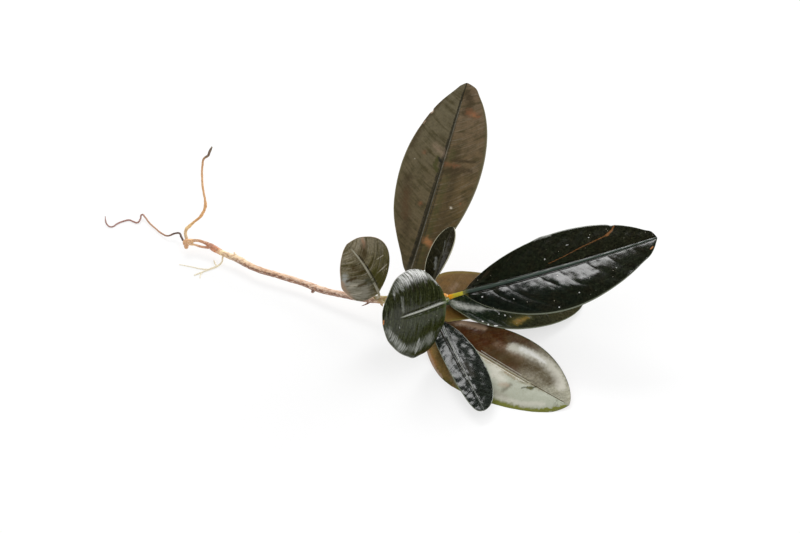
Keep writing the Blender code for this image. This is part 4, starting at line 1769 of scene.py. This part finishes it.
            Mark(Tint.DARK, ((3.0, 1.0), (15.0, 0.9), (27.0, 0.7)), 0.7, 0.75, 0.9, end_width=0.4),
            Mark(Tint.DARK, ((19.0, -1.2), (24.0, -1.8)), 2.2, 0.7, 0.9),
            Mark(Tint.DARK, ((15.6, 1.6), (18.0, 2.6)), 1.0, 0.7, 0.9),
        ),
    ),
    Leaf(
        name="round_front_leaf",
        node="leaf_round_front",
        joint=(0.4, -1.5, 1.0),
        base=(0.3, -7.0, 4.65),
        heading=-128.1,
        climb=19.1,
        roll=-67.9,
        blade=29.5,
        left=Half(
            width=13.7,
            rise=0.49,
            fall=0.67,
            curl=-25.0,
            bulges=((6.5, 0.45, 4.0), (15.0, 0.45, 2.0), (27.0, 0.35, 1.5)),
        ),
        right=Half(
            width=12.7,
            rise=0.53,
            fall=0.61,
            curl=-50.0,
            bulges=((5.0, 0.7, 3.0), (10.5, 0.45, 4.0), (24.8, -0.95, 3.4), (29.2, 0.3, 0.8)),
        ),
        droop=3.7,
        sway=4.9,
        fold=3,
        arch=-15,
        finish=ROUND_GREEN,
        seed=6.0,
        quilting=0.05,
        pitch=3.6,
        lean=0.05,
        bow=0.08,
        skew=-0.25,
        streaks=0.09,
        hammered=0.05,
        rib_height=0.34,
        rib_width=0.40,
        rib_end=0.76,
        marks=(
            # painted highlights: white and silver reflections along the edges and streaks; dark strokes
            # break them up
            Mark(Tint.WHITE_SPECK_AND_GLINT, ((8.6, 11.0), (13.0, 11.6), (16.6, 11.0)), 4.2, 0.48, 1.0),
            Mark(Tint.SILVER_HIGHLIGHT, ((4.4, 10.0), (9.0, 11.2)), 2.6, 0.5, 1.0),
            Mark(Tint.SILVER_HIGHLIGHT, ((17.0, 11.0), (20.4, 9.4), (23.0, 7.4)), 2.2, 0.40, 1.0, end_width=1.4),
            Mark(Tint.SILVER_HIGHLIGHT, ((20.3, 5.4), (20.4, 1.6)), 1.0, 0.36, 1.0),
            Mark(Tint.SILVER_HIGHLIGHT, ((2.6, 6.6), (4.6, 9.6)), 1.6, 0.6, 1.0),
            Mark(Tint.SILVER_HIGHLIGHT, ((14.0, -8.4), (14.8, -11.4)), 1.2, 0.6, 1.0),
            Mark(
                Tint.SILVER_HIGHLIGHT,
                ((8.0, -9.2), (13.0, -10.0), (17.0, -10.2), (21.4, -9.0)),
                3.2, 0.42, 1.0, end_width=2.0,
            ),
            Mark(Tint.SILVER_HIGHLIGHT, ((27.6, -2.8), (25.0, -5.6), (21.4, -9.0)), 2.2, 0.48, 1.0),
            Mark(Tint.DARK, ((8.0, 6.6), (8.4, 10.2)), 0.9, 0.85, 0.7, end_width=0.2),
            Mark(Tint.DARK, ((10.6, 6.6), (11.0, 11.4)), 0.8, 0.9, 0.7, end_width=0.2),
            Mark(Tint.DARK, ((12.6, 6.8), (12.9, 10.6)), 0.9, 0.9, 0.7, end_width=0.2),
            Mark(Tint.DARK, ((14.6, 6.4), (14.9, 11.0)), 0.7, 0.9, 0.7, end_width=0.2),
            Mark(Tint.DARK, ((16.8, 6.0), (17.0, 9.8)), 0.8, 0.85, 0.7, end_width=0.2),
            Mark(Tint.WHITE_SPECK_AND_GLINT, ((22.6, -2.4), (22.5, -3.0)), 0.22, 0.8, 0.7),
            Mark(Tint.ORANGE, ((29.3, -0.6), (29.3, 0.4)), 0.5, 0.9, 0.6),
        ),
    ),
    Leaf(
        name="round_side_leaf",
        node="leaf_round_side",
        joint=(-19.9, 1.4, -1.0),
        base=(-19.4, -0.3, 2.4),
        heading=176.5,
        climb=73.0,
        roll=-45.0,
        blade=20.6,
        left=Half(width=9.3, rise=0.38, fall=0.52, bulges=((11.0, 0.6, 2.4), (19.6, -0.3, 2.0))),
        right=Half(width=9.5, rise=0.86, fall=0.78, bulges=((19.7, 0.5, 1.7),)),
        droop=11.4,
        sway=-14.3,
        fold=5,
        arch=-12,
        finish=OLIVE_BROWN,
        seed=7.0,
        pitch=2.4,
        lean=0.25,
        quilting=0.06,
        streaks=0.05,
        rib_height=0.20,
        rib_width=0.40,
        stalk_radius=0.42,
        sheath_radius=0.62,
        marks=(
            Mark(Tint.PINK_SPOT_AND_SHEEN, ((17.8, 4.6), (16.0, 3.5)), 1.2, 1.1, 1.0),
            Mark(Tint.ORANGE, ((17.6, 4.5), (16.0, 3.5)), 0.4, 0.4, 0.9),
            Mark(Tint.EARTH, ((15.8, 3.2), (13.6, 1.6)), 2.8, 0.65, 1.0),
            Mark(Tint.PALE_SPECK_AND_GLINT, ((6.1, 2.5), (6.1, 6.4)), 0.30, 0.9, 0.7, drift=0.0),
            Mark(Tint.PALE_SPECK_AND_GLINT, ((9.8, 4.4), (9.2, 7.0)), 0.26, 0.7, 0.8, drift=0.0),
            Mark(Tint.PALE_SPECK_AND_GLINT, ((4.9, 5.6),), 0.45, 0.8, 0.8),
            # painted reflection of the floor: silver, hazy and pale strokes on the lower-left half
            Mark(Tint.SILVER_HIGHLIGHT, ((13.8, -6.8), (11.4, -8.0)), 2.0, 0.75, 1.0),
            Mark(Tint.HAZE_SHEEN, ((9.4, -7.4), (5.4, -3.2)), 4.4, 0.75, 1.0),
            Mark(Tint.HAZE_SHEEN, ((6.0, -8.2), (3.0, -5.0)), 3.2, 0.8, 1.0),
            Mark(Tint.HAZE_SHEEN, ((3.4, -4.6), (1.6, -1.8)), 1.6, 0.5, 1.0),
            Mark(Tint.PALE_SPECK_AND_GLINT, ((9.6, -7.6), (8.0, -5.2)), 0.7, 0.6, 1.0),
            Mark(Tint.PALE_SPECK_AND_GLINT, ((6.8, -8.4), (4.6, -5.4)), 0.6, 0.5, 1.0),
            Mark(Tint.EARTH, ((11.8, -7.2), (10.4, -4.4)), 0.9, 0.9, 0.9),
            Mark(Tint.EARTH, ((13.6, -3.4), (11.0, -1.4)), 2.2, 0.65, 1.0),
            Mark(Tint.EARTH, ((7.4, -5.0), (6.2, -2.6)), 0.9, 0.9, 0.9),
            Mark(Tint.MOSS, ((6.6, -1.9), (5.0, -0.7)), 1.6, 0.7, 1.0),
            Mark(Tint.OLIVE, ((7.0, 1.4), (2.6, 1.8)), 3.0, 0.75, 1.0),
            Mark(Tint.DARK, ((3.0, 0.6), (15.0, 0.6)), 0.45, 0.7, 0.8, drift=0.0),
            Mark(Tint.PINK_SPOT_AND_SHEEN, ((13.0, -8.8), (9.0, -9.2), (4.6, -8.8)), 1.3, 0.85, 0.8),
        ),
    ),
    Leaf(
        name="young_leaf",
        node="leaf_young",
        joint=(-3.9, 0.1, 1.8),
        base=(-2.8, 1.6, 5.4),
        heading=60.0,
        climb=59.8,
        roll=-11.1,
        blade=17.5,
        left=Half(width=4.4, rise=0.34, fall=0.59, bulges=((7.0, -0.25, 5.0),)),
        right=Half(width=3.7, rise=0.93, fall=0.51),
        droop=4.0,
        sway=8.1,
        fold=22,
        arch=-8,
        finish=YOUNG_GREEN,
        seed=8.0,
        quilting=0.05,
        rib_height=0.10,
        streaks=0.03,
        marks=(
            # painted highlights: silver streaks
            Mark(Tint.SILVER_HIGHLIGHT, ((6.8, -1.3), (3.6, -0.6)), 0.8, 0.45, 1.0),
            Mark(Tint.SILVER_HIGHLIGHT, ((12.7, -0.6), (8.4, 0.6)), 0.3, 0.35, 1.0),
        ),
    ),
    Leaf(
        name="back_leaf",
        node="leaf_back",
        joint=(-3.4, 1.0, -1.3),
        base=(-2.2, 2.0, -2.1),
        heading=18.0,
        climb=-15.9,
        roll=7.0,
        blade=31.5,
        left=Half(width=11.0, rise=0.32, fall=0.69),
        right=Half(width=9.8, rise=0.04, fall=0.56),
        droop=-8.5,
        sway=-10.5,
        fold=6,
        arch=-5,
        finish=BACK_BROWN,
        seed=9.0,
        quilting=0.05,
        marks=(Mark(Tint.PINK_SPOT_AND_SHEEN, ((9.0, -5.4), (6.4, -3.4)), 2.0, 0.35, 1.0),),
    ),
)

STEM_ROUTE: Route = (
    ((-80.3, 33.1, -5.6), 1.15), ((-79.3, 33.4, -5.5), 1.0), ((-77.5, 33.8, -5.3), 0.45),
    ((-74.7, 33.0, -5.4), 0.5), ((-71.7, 30.6, -5.6), 1.05), ((-68.3, 27.9, -5.7), 0.9),
    ((-64.1, 25.4, -5.7), 1.1), ((-57.6, 20.4, -5.6), 1.0), ((-50.0, 16.9, -5.6), 1.0),
    ((-42.7, 13.5, -5.6), 1.0), ((-37.4, 10.2, -5.3), 1.05), ((-31.7, 7.4, -4.7), 1.0),
    ((-25.0, 4.3, -3.7), 1.05), ((-20.4, 2.4, -2.6), 1.2), ((-15.3, 0.9, -1.4), 1.1),
    ((-10.2, -0.1, -0.5), 1.25), ((-5.1, -0.3, 0.0), 1.3), ((0.6, 0.0, 0.3), 1.15),
)
SECOND_STRAND: Route = (
    ((-79.6, 32.7, -5.8), 0.4), ((-77.6, 32.6, -6.1), 0.35), ((-75.4, 31.5, -6.0), 0.4),
    ((-72.2, 30.7, -5.7), 0.5),
)
KNOT_STUB: Route = (((-80.2, 33.0, -5.8), 0.9), ((-80.3, 32.6, -6.4), 0.8), ((-80.3, 32.4, -6.8), 0.7))
STEM_THORN: Route = (((-64.2, 25.4, -5.6), 0.6), ((-64.4, 26.0, -4.8), 0.5), ((-64.6, 26.4, -4.2), 0.25))
NODE_ROOTLETS: tuple[Route, ...] = (
    (((-21.4, 2.6, -3.2), 0.4), ((-22.6, 2.3, -4.1), 0.25), ((-24.4, 2.0, -4.9), 0.12)),
    (((-18.6, 1.7, -2.8), 0.6), ((-18.4, 1.3, -3.6), 0.45), ((-18.2, 1.0, -4.0), 0.2)),
    (((-39.2, 10.9, -5.7), 0.7), ((-39.5, 10.5, -6.2), 0.65), ((-39.7, 10.3, -6.45), 0.45)),
)
STANDING_ROOT: Route = (
    ((-80.4, 35.0, -5.2), 1.5), ((-80.7, 36.2, -3.9), 1.45), ((-80.3, 36.9, -3.0), 1.6),
    ((-79.6, 37.4, -2.6), 1.5), ((-78.0, 38.4, -1.5), 1.1), ((-76.2, 39.3, -0.4), 1.25),
    ((-75.6, 39.8, 0.2), 1.4), ((-74.6, 41.1, 1.7), 1.25), ((-74.4, 41.7, 2.3), 1.5),
    ((-74.6, 43.2, 3.9), 1.0), ((-75.2, 45.4, 6.3), 1.0), ((-75.5, 47.8, 9.0), 0.95),
    ((-75.4, 50.2, 11.7), 0.95), ((-74.9, 51.8, 13.5), 1.0), ((-73.7, 52.4, 14.1), 1.1),
    ((-73.1, 53.3, 15.2), 1.15), ((-72.5, 54.2, 16.1), 0.8),
)
TRAILING_ROOT: Route = (
    ((-81.5, 34.5, -5.7), 1.3), ((-82.2, 36.3, -5.8), 1.3), ((-83.1, 38.7, -6.3), 1.2),
    ((-84.6, 39.4, -7.0), 1.1), ((-86.7, 39.1, -7.7), 1.0), ((-88.9, 40.8, -8.2), 1.0),
    ((-91.2, 43.6, -8.4), 1.0), ((-93.5, 46.3, -8.2), 1.0), ((-95.2, 48.9, -7.8), 1.0),
    ((-96.2, 49.9, -7.7), 1.0), ((-96.6, 48.3, -8.2), 1.0), ((-97.4, 47.0, -8.6), 1.0),
    ((-98.8, 47.6, -8.73), 1.0), ((-100.2, 48.4, -8.73), 1.0), ((-101.9, 47.9, -8.73), 1.0),
    ((-103.8, 46.6, -8.73), 1.0), ((-105.7, 44.9, -8.73), 0.9), ((-107.0, 45.8, -8.6), 0.85),
    ((-107.7, 47.4, -8.3), 0.8), ((-108.0, 49.2, -7.9), 0.5),
)
MAIN_ROOTLET: Route = (
    ((-68.3, 27.5, -6.0), 1.2), ((-68.5, 26.7, -6.9), 1.1), ((-68.7, 26.3, -7.8), 1.0),
    ((-69.4, 25.8, -8.5), 1.0), ((-70.6, 24.9, -8.73), 1.25), ((-72.4, 23.8, -8.74), 1.25),
    ((-74.1, 22.8, -8.79), 1.0), ((-76.9, 21.0, -8.8), 0.9),
)
SIDE_ROOTLETS: tuple[Route, ...] = (
    (((-72.6, 23.7, -8.75), 0.9), ((-75.0, 24.0, -8.8), 0.8), ((-78.0, 25.0, -8.84), 0.75),
     ((-82.0, 26.2, -8.86), 0.6)),
    (((-70.3, 25.2, -8.7), 0.9), ((-70.9, 26.5, -8.8), 0.8), ((-71.4, 28.2, -8.86), 0.6)),
    (((-74.3, 22.7, -8.8), 0.9), ((-75.0, 21.4, -8.82), 0.75), ((-75.1, 19.7, -8.86), 0.6)),
)

STEM_BARK = BarkFinish(
    colours=(
        (0.00, (0.66, 0.36, 0.17)),
        (0.02, (0.82, 0.54, 0.28)),
        (0.05, (0.66, 0.36, 0.20)),
        (0.10, (0.46, 0.20, 0.12)),
        (0.13, (0.66, 0.24, 0.10)),
        (0.15, (0.97, 0.76, 0.44)),
        (0.22, (0.95, 0.72, 0.46)),
        (0.32, (0.84, 0.56, 0.36)),
        (0.60, (0.84, 0.60, 0.44)),
        (0.74, (0.78, 0.52, 0.36)),
        (0.80, (0.35, 0.28, 0.08)),
        (0.96, (0.35, 0.30, 0.06)),
        (0.985, (1.0, 0.44, 0.02)),
    ),
    fleck=(0.40, 0.18, 0.090),
    scale=(0.90, 0.70, 0.56),
    # painted shade on the stem's lower side
    belly_shade=(0.20, 0.095, 0.060),
    flecking=0.65,
    scaling=0.6,
    fleck_scale=1.5,
    shading=1.0,
)
STANDING_BARK = BarkFinish(
    colours=(
        (0.00, (0.78, 0.60, 0.38)),
        (0.14, (0.86, 0.56, 0.24)),
        (0.22, (0.78, 0.42, 0.16)),
        (0.40, (0.76, 0.40, 0.16)),
        (0.66, (0.80, 0.46, 0.22)),
        (0.82, (0.62, 0.33, 0.15)),
        (0.90, (0.14, 0.075, 0.045)),
        (1.00, (0.050, 0.045, 0.038)),
    ),
    fleck=(0.36, 0.17, 0.08),
    scale=(0.86, 0.68, 0.46),
    flecking=0.4,
)
TRAILING_BARK = BarkFinish(
    colours=(
        (0.00, (0.10, 0.060, 0.045)),
        (0.16, (0.12, 0.070, 0.050)),
        (0.26, (0.52, 0.27, 0.15)),
        (0.45, (0.62, 0.36, 0.22)),
        (0.56, (0.42, 0.21, 0.16)),
        (0.80, (0.40, 0.20, 0.17)),
        (1.00, (0.36, 0.19, 0.16)),
    ),
    fleck=(0.14, 0.07, 0.05),
    scale=(0.55, 0.38, 0.26),
    scaling=0.25,
)
ROOTLET_BARK = BarkFinish(
    colours=((0.00, (0.76, 0.58, 0.36)), (0.25, (0.84, 0.74, 0.52)), (1.00, (0.88, 0.81, 0.64))),
    fleck=(0.72, 0.58, 0.36),
    scale=(0.88, 0.82, 0.66),
    flecking=0.2,
)


@dataclass(frozen=True)
class Stem:
    """The creeping stem, grown together with its knot, second strand, thorn and short rootlets."""

    name: str = "creeping_stem"
    node: str = "stem"
    radius: float = 1.0
    knobs: float = 0.14
    seed: float = 3.0
    twig_sides: int = 16
    cell: float = 0.11

    def build(self) -> bpy.types.Object:
        """Makes the stem and gives it its bark.

        Returns:
            The stem.
        """
        twigs = (SECOND_STRAND, KNOT_STUB, STEM_THORN, *NODE_ROOTLETS)
        strands = [Strand(STEM_ROUTE, self.radius, knobs=self.knobs, seed=self.seed)]
        strands += [Strand(route, self.radius, sides=self.twig_sides) for route in twigs]
        mesh = grown_together(self.name, strands, self.cell)
        mesh.materials.append(STEM_BARK.material(self.name))
        return settle(self.name, mesh, self.node)


@dataclass(frozen=True)
class Roots:
    """The standing root, the trailing root and the tuft of fine rootlets."""

    standing: Strand = Strand(STANDING_ROOT, 0.36, step=0.08, sides=24, knobs=0.22, knob_length=0.9)
    trailing: Strand = Strand(TRAILING_ROOT, 0.27, step=0.08, sides=20, knobs=0.18, knob_length=0.8)
    rootlets: tuple[Strand, ...] = tuple(
        Strand(route, 0.25, step=0.08, sides=14, knobs=0.2, knob_length=0.7)
        for route in (MAIN_ROOTLET, *SIDE_ROOTLETS)
    )
    rootlet_cell: float = 0.05

    def build(self) -> list[bpy.types.Object]:
        """Makes the roots and gives them their bark.

        Returns:
            The standing root, the trailing root and the tuft.
        """
        tuft = grown_together("rootlet_tuft", self.rootlets, self.rootlet_cell)
        pieces = []
        for name, node, mesh, bark in (
            ("standing_root", "root_standing", self.standing.mesh("standing_root"), STANDING_BARK),
            ("trailing_root", "root_trailing", self.trailing.mesh("trailing_root"), TRAILING_BARK),
            ("rootlet_tuft", "rootlets", tuft, ROOTLET_BARK),
        ):
            mesh.materials.append(bark.material(name))
            pieces.append(settle(name, mesh, node))
        return pieces


@dataclass(frozen=True)
class Lamp:
    """A flat light with four corners, in metres, facing the plant from a heading and a climb."""

    name: str
    width: float
    height: float
    distance: float
    climb: float
    heading: float
    power: float

    def hang(self) -> None:
        """Puts the light in the scene."""
        lamp = bpy.data.lights.new(self.name, "AREA")
        lamp.shape = "RECTANGLE"
        lamp.size = self.width
        lamp.size_y = self.height
        lamp.energy = self.power
        holder = bpy.data.objects.new(self.name, lamp)
        climb = radians(self.climb)
        heading = radians(self.heading)
        way = Vector((cos(climb) * cos(heading), cos(climb) * sin(heading), sin(climb)))
        holder.location = way * self.distance
        holder.rotation_euler = way.to_track_quat("Z", "Y").to_euler()
        bpy.context.scene.collection.objects.link(holder)


@dataclass(frozen=True)
class Studio:
    """The pale floor, the soft light and the camera.

    The floor's size and the nearest and farthest places that the camera sees are in metres.
    """

    target: Place = (10.0, -0.126, 16.239)
    eye: Place = (10.0, -434.218, 380.485)
    lens: float = 85.0
    sensor: float = 36.0
    floor_size: float = 6.0
    floor_colour: Colour = (0.30, 0.30, 0.30)
    floor_glow: float = 0.662
    room: float = 0.85
    floor_roughness: float = 0.6
    lamps: tuple[Lamp, ...] = (
        Lamp("key_box", width=0.80, height=0.36, distance=1.3, climb=47.5, heading=101.5, power=6.2),
        Lamp("rim_strip", width=1.40, height=0.56, distance=1.3, climb=14.5, heading=41.0, power=12.0),
    )

    FLOOR_GRAIN = 30.0
    FLOOR_UNEVENNESS = 0.1
    NEAREST = 0.01
    FARTHEST = 20.0

    def floor(self) -> None:
        """Lays the floor, which isn't part of the plant."""
        reach = self.floor_size / 2
        mesh = bpy.data.meshes.new("floor")
        corners = [(-reach, -reach, 0.0), (reach, -reach, 0.0), (reach, reach, 0.0), (-reach, reach, 0.0)]
        mesh.from_pydata(corners, [], [(0, 1, 2, 3)])
        tree = Tree("floor")
        spot = tree.node("ShaderNodeTexCoord", {}, {}, "Object")
        dull = self.floor_roughness + tree.grain(spot, self.FLOOR_GRAIN) * self.FLOOR_UNEVENNESS
        mesh.materials.append(tree.finish(
            Base_Color=self.floor_colour,
            Roughness=dull,
            Specular_IOR_Level=0.0,
            Emission_Color=(1.0, 1.0, 1.0),
            Emission_Strength=self.floor_glow,
        ))
        piece = bpy.data.objects.new("floor", mesh)
        bpy.context.scene.collection.objects.link(piece)

    def light(self) -> None:
        """Hangs the soft box and the low strip behind the plant, and lights the room evenly."""
        for lamp in self.lamps:
            lamp.hang()
        world = bpy.data.worlds.new("room")
        bpy.context.scene.world = world
        world.use_nodes = True
        world.node_tree.nodes["Background"].inputs["Color"].default_value = (1.0, 1.0, 1.0, 1.0)
        world.node_tree.nodes["Background"].inputs["Strength"].default_value = self.room
        world.cycles_visibility.glossy = False
        bpy.context.scene.view_settings.view_transform = "Standard"

    def camera(self) -> None:
        """Sets up the camera as the photograph was taken, looking down at the plant."""
        data = bpy.data.cameras.new("camera")
        data.lens = self.lens
        data.sensor_width = self.sensor
        data.clip_start = self.NEAREST
        data.clip_end = self.FARTHEST
        camera = bpy.data.objects.new("camera", data)
        eye = Vector(self.eye) * MM
        camera.location = eye
        camera.rotation_euler = (eye - Vector(self.target) * MM).to_track_quat("Z", "Y").to_euler()
        bpy.context.scene.collection.objects.link(camera)
        bpy.context.scene.camera = camera


def main() -> None:
    """Builds the plant and its studio in order."""
    studio = Studio()
    studio.camera()
    studio.floor()
    studio.light()
    Stem().build()
    Roots().build()
    for leaf in LEAVES:
        leaf.build()


if __name__ == "__main__":
    main()
